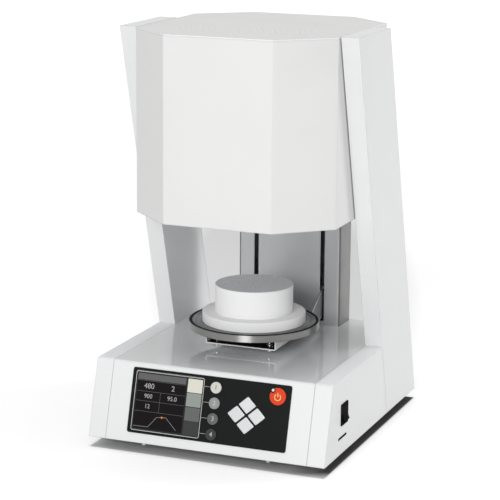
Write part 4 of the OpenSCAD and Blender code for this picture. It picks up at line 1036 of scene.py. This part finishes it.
# %% Place the camera
CAMERA_PLACE = Vector((0.9354, -2.3684, 0.8192))
CAMERA_RIGHT = Vector((0.92736, 0.37406, 0.00843))
CAMERA_UP = Vector((-0.09045, 0.20227, 0.97514))
LENS = 139.2
SENSOR = 36
camera_data = bpy.data.cameras.new("camera")
camera_data.lens = LENS
camera_data.sensor_width = SENSOR
camera = add_object("camera", camera_data)
right = CAMERA_RIGHT.normalized()
back = right.cross(CAMERA_UP.normalized()).normalized()
up = back.cross(right)
turn = Matrix((right, up, back)).transposed().to_4x4()
camera.matrix_world = Matrix.Translation(CAMERA_PLACE) @ turn
bpy.context.scene.camera = camera
print("camera looks along", rounded(-back))

# %% [markdown]
# ## Floor
# The picture has a white ground. If the lamps alone made the paper white, they would
# be far too strong for the furnace. So the paper is pale, and for camera and glossy
# rays alone Light Path adds a glow that brings it up to white. The strength of the
# glow is a product of masks between 0 and 1, and each mask is worked out from the
# place on the floor. Three helpers keep the masks short.

# %% Helpers for masks


def math_node(nodes, links, operation, *sources):
    """A Math node whose inputs are numbers or outputs of other nodes."""
    node = nodes.new("ShaderNodeMath")
    node.operation = operation
    for socket, source in zip(node.inputs, sources):
        if isinstance(source, bpy.types.NodeSocket):
            links.new(source, socket)
        else:
            socket.default_value = source
    return node.outputs["Value"]


def map_range(nodes, links, source, low, high, to_low, to_high):
    node = nodes.new("ShaderNodeMapRange")
    names = ("From Min", "From Max", "To Min", "To Max")
    for name, value in zip(names, (low, high, to_low, to_high)):
        node.inputs[name].default_value = value
    links.new(source, node.inputs["Value"])
    return node.outputs["Result"]


def length_of(nodes, links, vector):
    node = nodes.new("ShaderNodeVectorMath")
    node.operation = "LENGTH"
    links.new(vector, node.inputs[0])
    return node.outputs["Value"]


print("mask helpers ready")

# %% [markdown]
# ### The paper
# One large square of matt paper is enough, because the camera never sees its edge.
# It mirrors nothing, so that the furnace leaves a shadow on it but no image.

# %% Lay the floor
PAPER = 0.78
FLOOR_HALF = 14


def build_floor(shape):
    bmesh.ops.create_grid(shape, x_segments=1, y_segments=1, size=FLOOR_HALF)


floor = add_object("floor", mesh_from("floor", build_floor))
floor_paper, floor_nodes, floor_links, floor_shader, floor_place = new_finish(
    "floor_paper", (PAPER, PAPER, PAPER), roughness=0.9
)
floor_shader.inputs["Specular IOR Level"].default_value = 0.0
floor.data.materials.append(floor_paper)
print("floor laid,", 2 * FLOOR_HALF, "m wide")

# %% [markdown]
# ### Near and far
# The glow grows with the distance from the furnace, because the lamps reach less of
# the floor there. It stops at the outline of the base, so that the narrow gap under
# the furnace stays dark. How far a point lies outside the base is the larger of its
# two distances, past the side and past the front or rear.

# %% Where the floor may glow


def floor_math(operation, *sources):
    return math_node(floor_nodes, floor_links, operation, *sources)


def floor_map(source, low, high, to_low, to_high):
    return map_range(floor_nodes, floor_links, source, low, high, to_low, to_high)


BASE_HALF_X, BASE_HALF_Y = -cad_box[0][0], -cad_box[0][1]
LIT_TO, DIM_FROM = 0.9, 5.0
LIT_GLOW, DIM_GLOW = 0.36, 0.85
distance = length_of(floor_nodes, floor_links, floor_place)
far_glow = floor_map(distance, LIT_TO, DIM_FROM, LIT_GLOW, DIM_GLOW)
apart = floor_nodes.new("ShaderNodeSeparateXYZ")
floor_links.new(floor_place, apart.inputs["Vector"])
floor_x, floor_y = apart.outputs["X"], apart.outputs["Y"]
past_side = floor_math("SUBTRACT", floor_math("ABSOLUTE", floor_x), BASE_HALF_X)
past_end = floor_math("SUBTRACT", floor_math("ABSOLUTE", floor_y), BASE_HALF_Y)
outside = floor_math("MAXIMUM", past_side, past_end)
near_mask = floor_map(outside, -2 * MM, 1 * MM, 0.0, 1.0)
print("base outline", round(BASE_HALF_X / MM), "by", round(BASE_HALF_Y / MM), "mm from the middle")

# %% [markdown]
# ### The shade behind the column
# Beside the column the picture shows a grey ground, the furnace's own shade on the
# floor behind it. An oval patch lowers the glow there. A Mapping node in Texture mode
# turns the place on the floor into the patch's own frame, where the oval is a circle.

# %% Keep the floor behind the column grey
PATCH_MIDDLE = (-0.312, 0.9, 0)
PATCH_TURN = 21.4
PATCH_HALF = (0.25, 1.1, 1)
PATCH_CORE, PATCH_RIM = 0.6, 1.0
PATCH_GLOW = 0.05
behind = floor_nodes.new("ShaderNodeMapping")
behind.vector_type = "TEXTURE"
behind.inputs["Location"].default_value = PATCH_MIDDLE
behind.inputs["Rotation"].default_value = (0, 0, math.radians(PATCH_TURN))
behind.inputs["Scale"].default_value = PATCH_HALF
floor_links.new(floor_place, behind.inputs["Vector"])
from_middle = length_of(floor_nodes, floor_links, behind.outputs["Vector"])
rear_mask = floor_map(from_middle, PATCH_CORE, PATCH_RIM, PATCH_GLOW, 1.0)
print("grey patch at", PATCH_MIDDLE)

# %% [markdown]
# ### The gap under the base
# Under the base the picture is grey along the front and nearly black along the right
# side. So a shadow is painted into the paper there: darker a little towards the inside,
# and much more towards the right, except in the strip along the front edge.

# %% Paint a shadow into the paper under the base
DEEP_SHADOW_PAPER = 0.55
INNER_DEPTH = 14 * MM
SHADOW_SHARE = 0.14
SIDE_FROM, SIDE_TO = 110 * MM, 155 * MM
FRONT_FROM, FRONT_TO = -187 * MM, -165 * MM
painted_shadow_inward = floor_map(outside, -INNER_DEPTH, 0.0, DEEP_SHADOW_PAPER, PAPER)
shadow_to_right = floor_map(floor_x, SIDE_FROM, SIDE_TO, 1.0, SHADOW_SHARE)
shadow_from_front = floor_map(floor_y, FRONT_FROM, FRONT_TO, 1.0, SHADOW_SHARE)
painted_shadow_tone = floor_math("MULTIPLY", painted_shadow_inward, floor_math("MAXIMUM", shadow_to_right, shadow_from_front))
to_paper = floor_math("SUBTRACT", PAPER, painted_shadow_tone)
paper_with_painted_shadow = floor_math("MULTIPLY_ADD", near_mask, to_paper, painted_shadow_tone)
floor_links.new(paper_with_painted_shadow, floor_shader.inputs["Base Color"])
print("paper is", PAPER, "outside the base and darker under it")

# %% [markdown]
# ### The glow
# An Emission shader is added to the paper's own. Its strength is 1 for camera rays,
# half for mirrored rays, so that the gloss deck doesn't mirror a bright floor, and 0
# for all others, so that the floor lights nothing. The masks then lower it.

# %% Let the floor glow for the camera
GLOSSY_SHARE = 0.5
floor_path = floor_nodes.new("ShaderNodeLightPath")
is_camera, is_glossy = floor_path.outputs["Is Camera Ray"], floor_path.outputs["Is Glossy Ray"]
amount = floor_math("MULTIPLY_ADD", is_glossy, GLOSSY_SHARE, is_camera)
for mask in (far_glow, near_mask, rear_mask):
    amount = floor_math("MULTIPLY", amount, mask)
glow_shader = floor_nodes.new("ShaderNodeEmission")
floor_links.new(amount, glow_shader.inputs["Strength"])
both = floor_nodes.new("ShaderNodeAddShader")
floor_links.new(floor_shader.outputs["BSDF"], both.inputs[0])
floor_links.new(glow_shader.outputs["Emission"], both.inputs[1])
floor_links.new(both.outputs["Shader"], floor_nodes["Material Output"].inputs["Surface"])
print("floor glows for the camera")

# %% [markdown]
# ## Light
# The shadows in the picture tell where its lamps stood. The head's lower edge
# darkens only the top of the column, so the main lamp stands in front and low, at
# about 17 degrees. The lid and the wing tops are bright while the deck under the
# head is grey, so a second lamp hangs overhead. A third one behind on the right
# lights the outer side.

# %% [markdown]
# ### World light
# An even world light fills the rest, like the white walls of a studio. It is weaker
# than it looks: for the camera it comes up to a full white, and for mirrored rays it
# is a little stronger than for all others.

# %% World light
WORLD_LEVEL = 0.43
GLOSSY_EXTRA = 0.2
CAMERA_EXTRA = 1 - WORLD_LEVEL
world = bpy.data.worlds.new("studio")
bpy.context.scene.world = world
world.use_nodes = True
world_nodes, world_links = world.node_tree.nodes, world.node_tree.links
world_path = world_nodes.new("ShaderNodeLightPath")
level = WORLD_LEVEL
for ray, extra in (("Is Glossy Ray", GLOSSY_EXTRA), ("Is Camera Ray", CAMERA_EXTRA)):
    level = math_node(world_nodes, world_links, "MULTIPLY_ADD", world_path.outputs[ray], extra, level)
world_links.new(level, world_nodes["Background"].inputs["Strength"])
world_nodes["Background"].inputs["Color"].default_value = (1, 1, 1, 1)
print("world light set to", WORLD_LEVEL)

# %% [markdown]
# ### Lamps
# Round area lamps stand for the softboxes of a studio: the wider the lamp, the softer
# its shadow. The side lamp is hidden from mirrored rays, because its round image would
# show in the gloss. The Standard view keeps white paper white.

# %% Lamps


def soft_lamp(name, place, aim, size, power):
    data = bpy.data.lights.new(name, "AREA")
    data.shape = "DISK"
    data.size = size
    data.energy = power
    lamp = add_object(name, data)
    lamp.location = place
    lamp.rotation_mode = "QUATERNION"
    lamp.rotation_quaternion = (Vector(aim) - Vector(place)).to_track_quat("-Z", "Y")
    return lamp


soft_lamp("front_lamp", place=(0.35, -3.24, 1.25), aim=(0, 0, 0.25), size=1.3, power=51)
soft_lamp("top_lamp", place=(0, 0.1, 3.2), aim=(0, 0, 0.5), size=2.0, power=28)
side_lamp = soft_lamp("side_lamp", place=(2.7, 1.89, 1.2), aim=(0, 0, 0.3), size=1.4, power=40)
side_lamp.visible_glossy = False
bpy.context.scene.view_settings.view_transform = "Standard"
print("lamps placed")
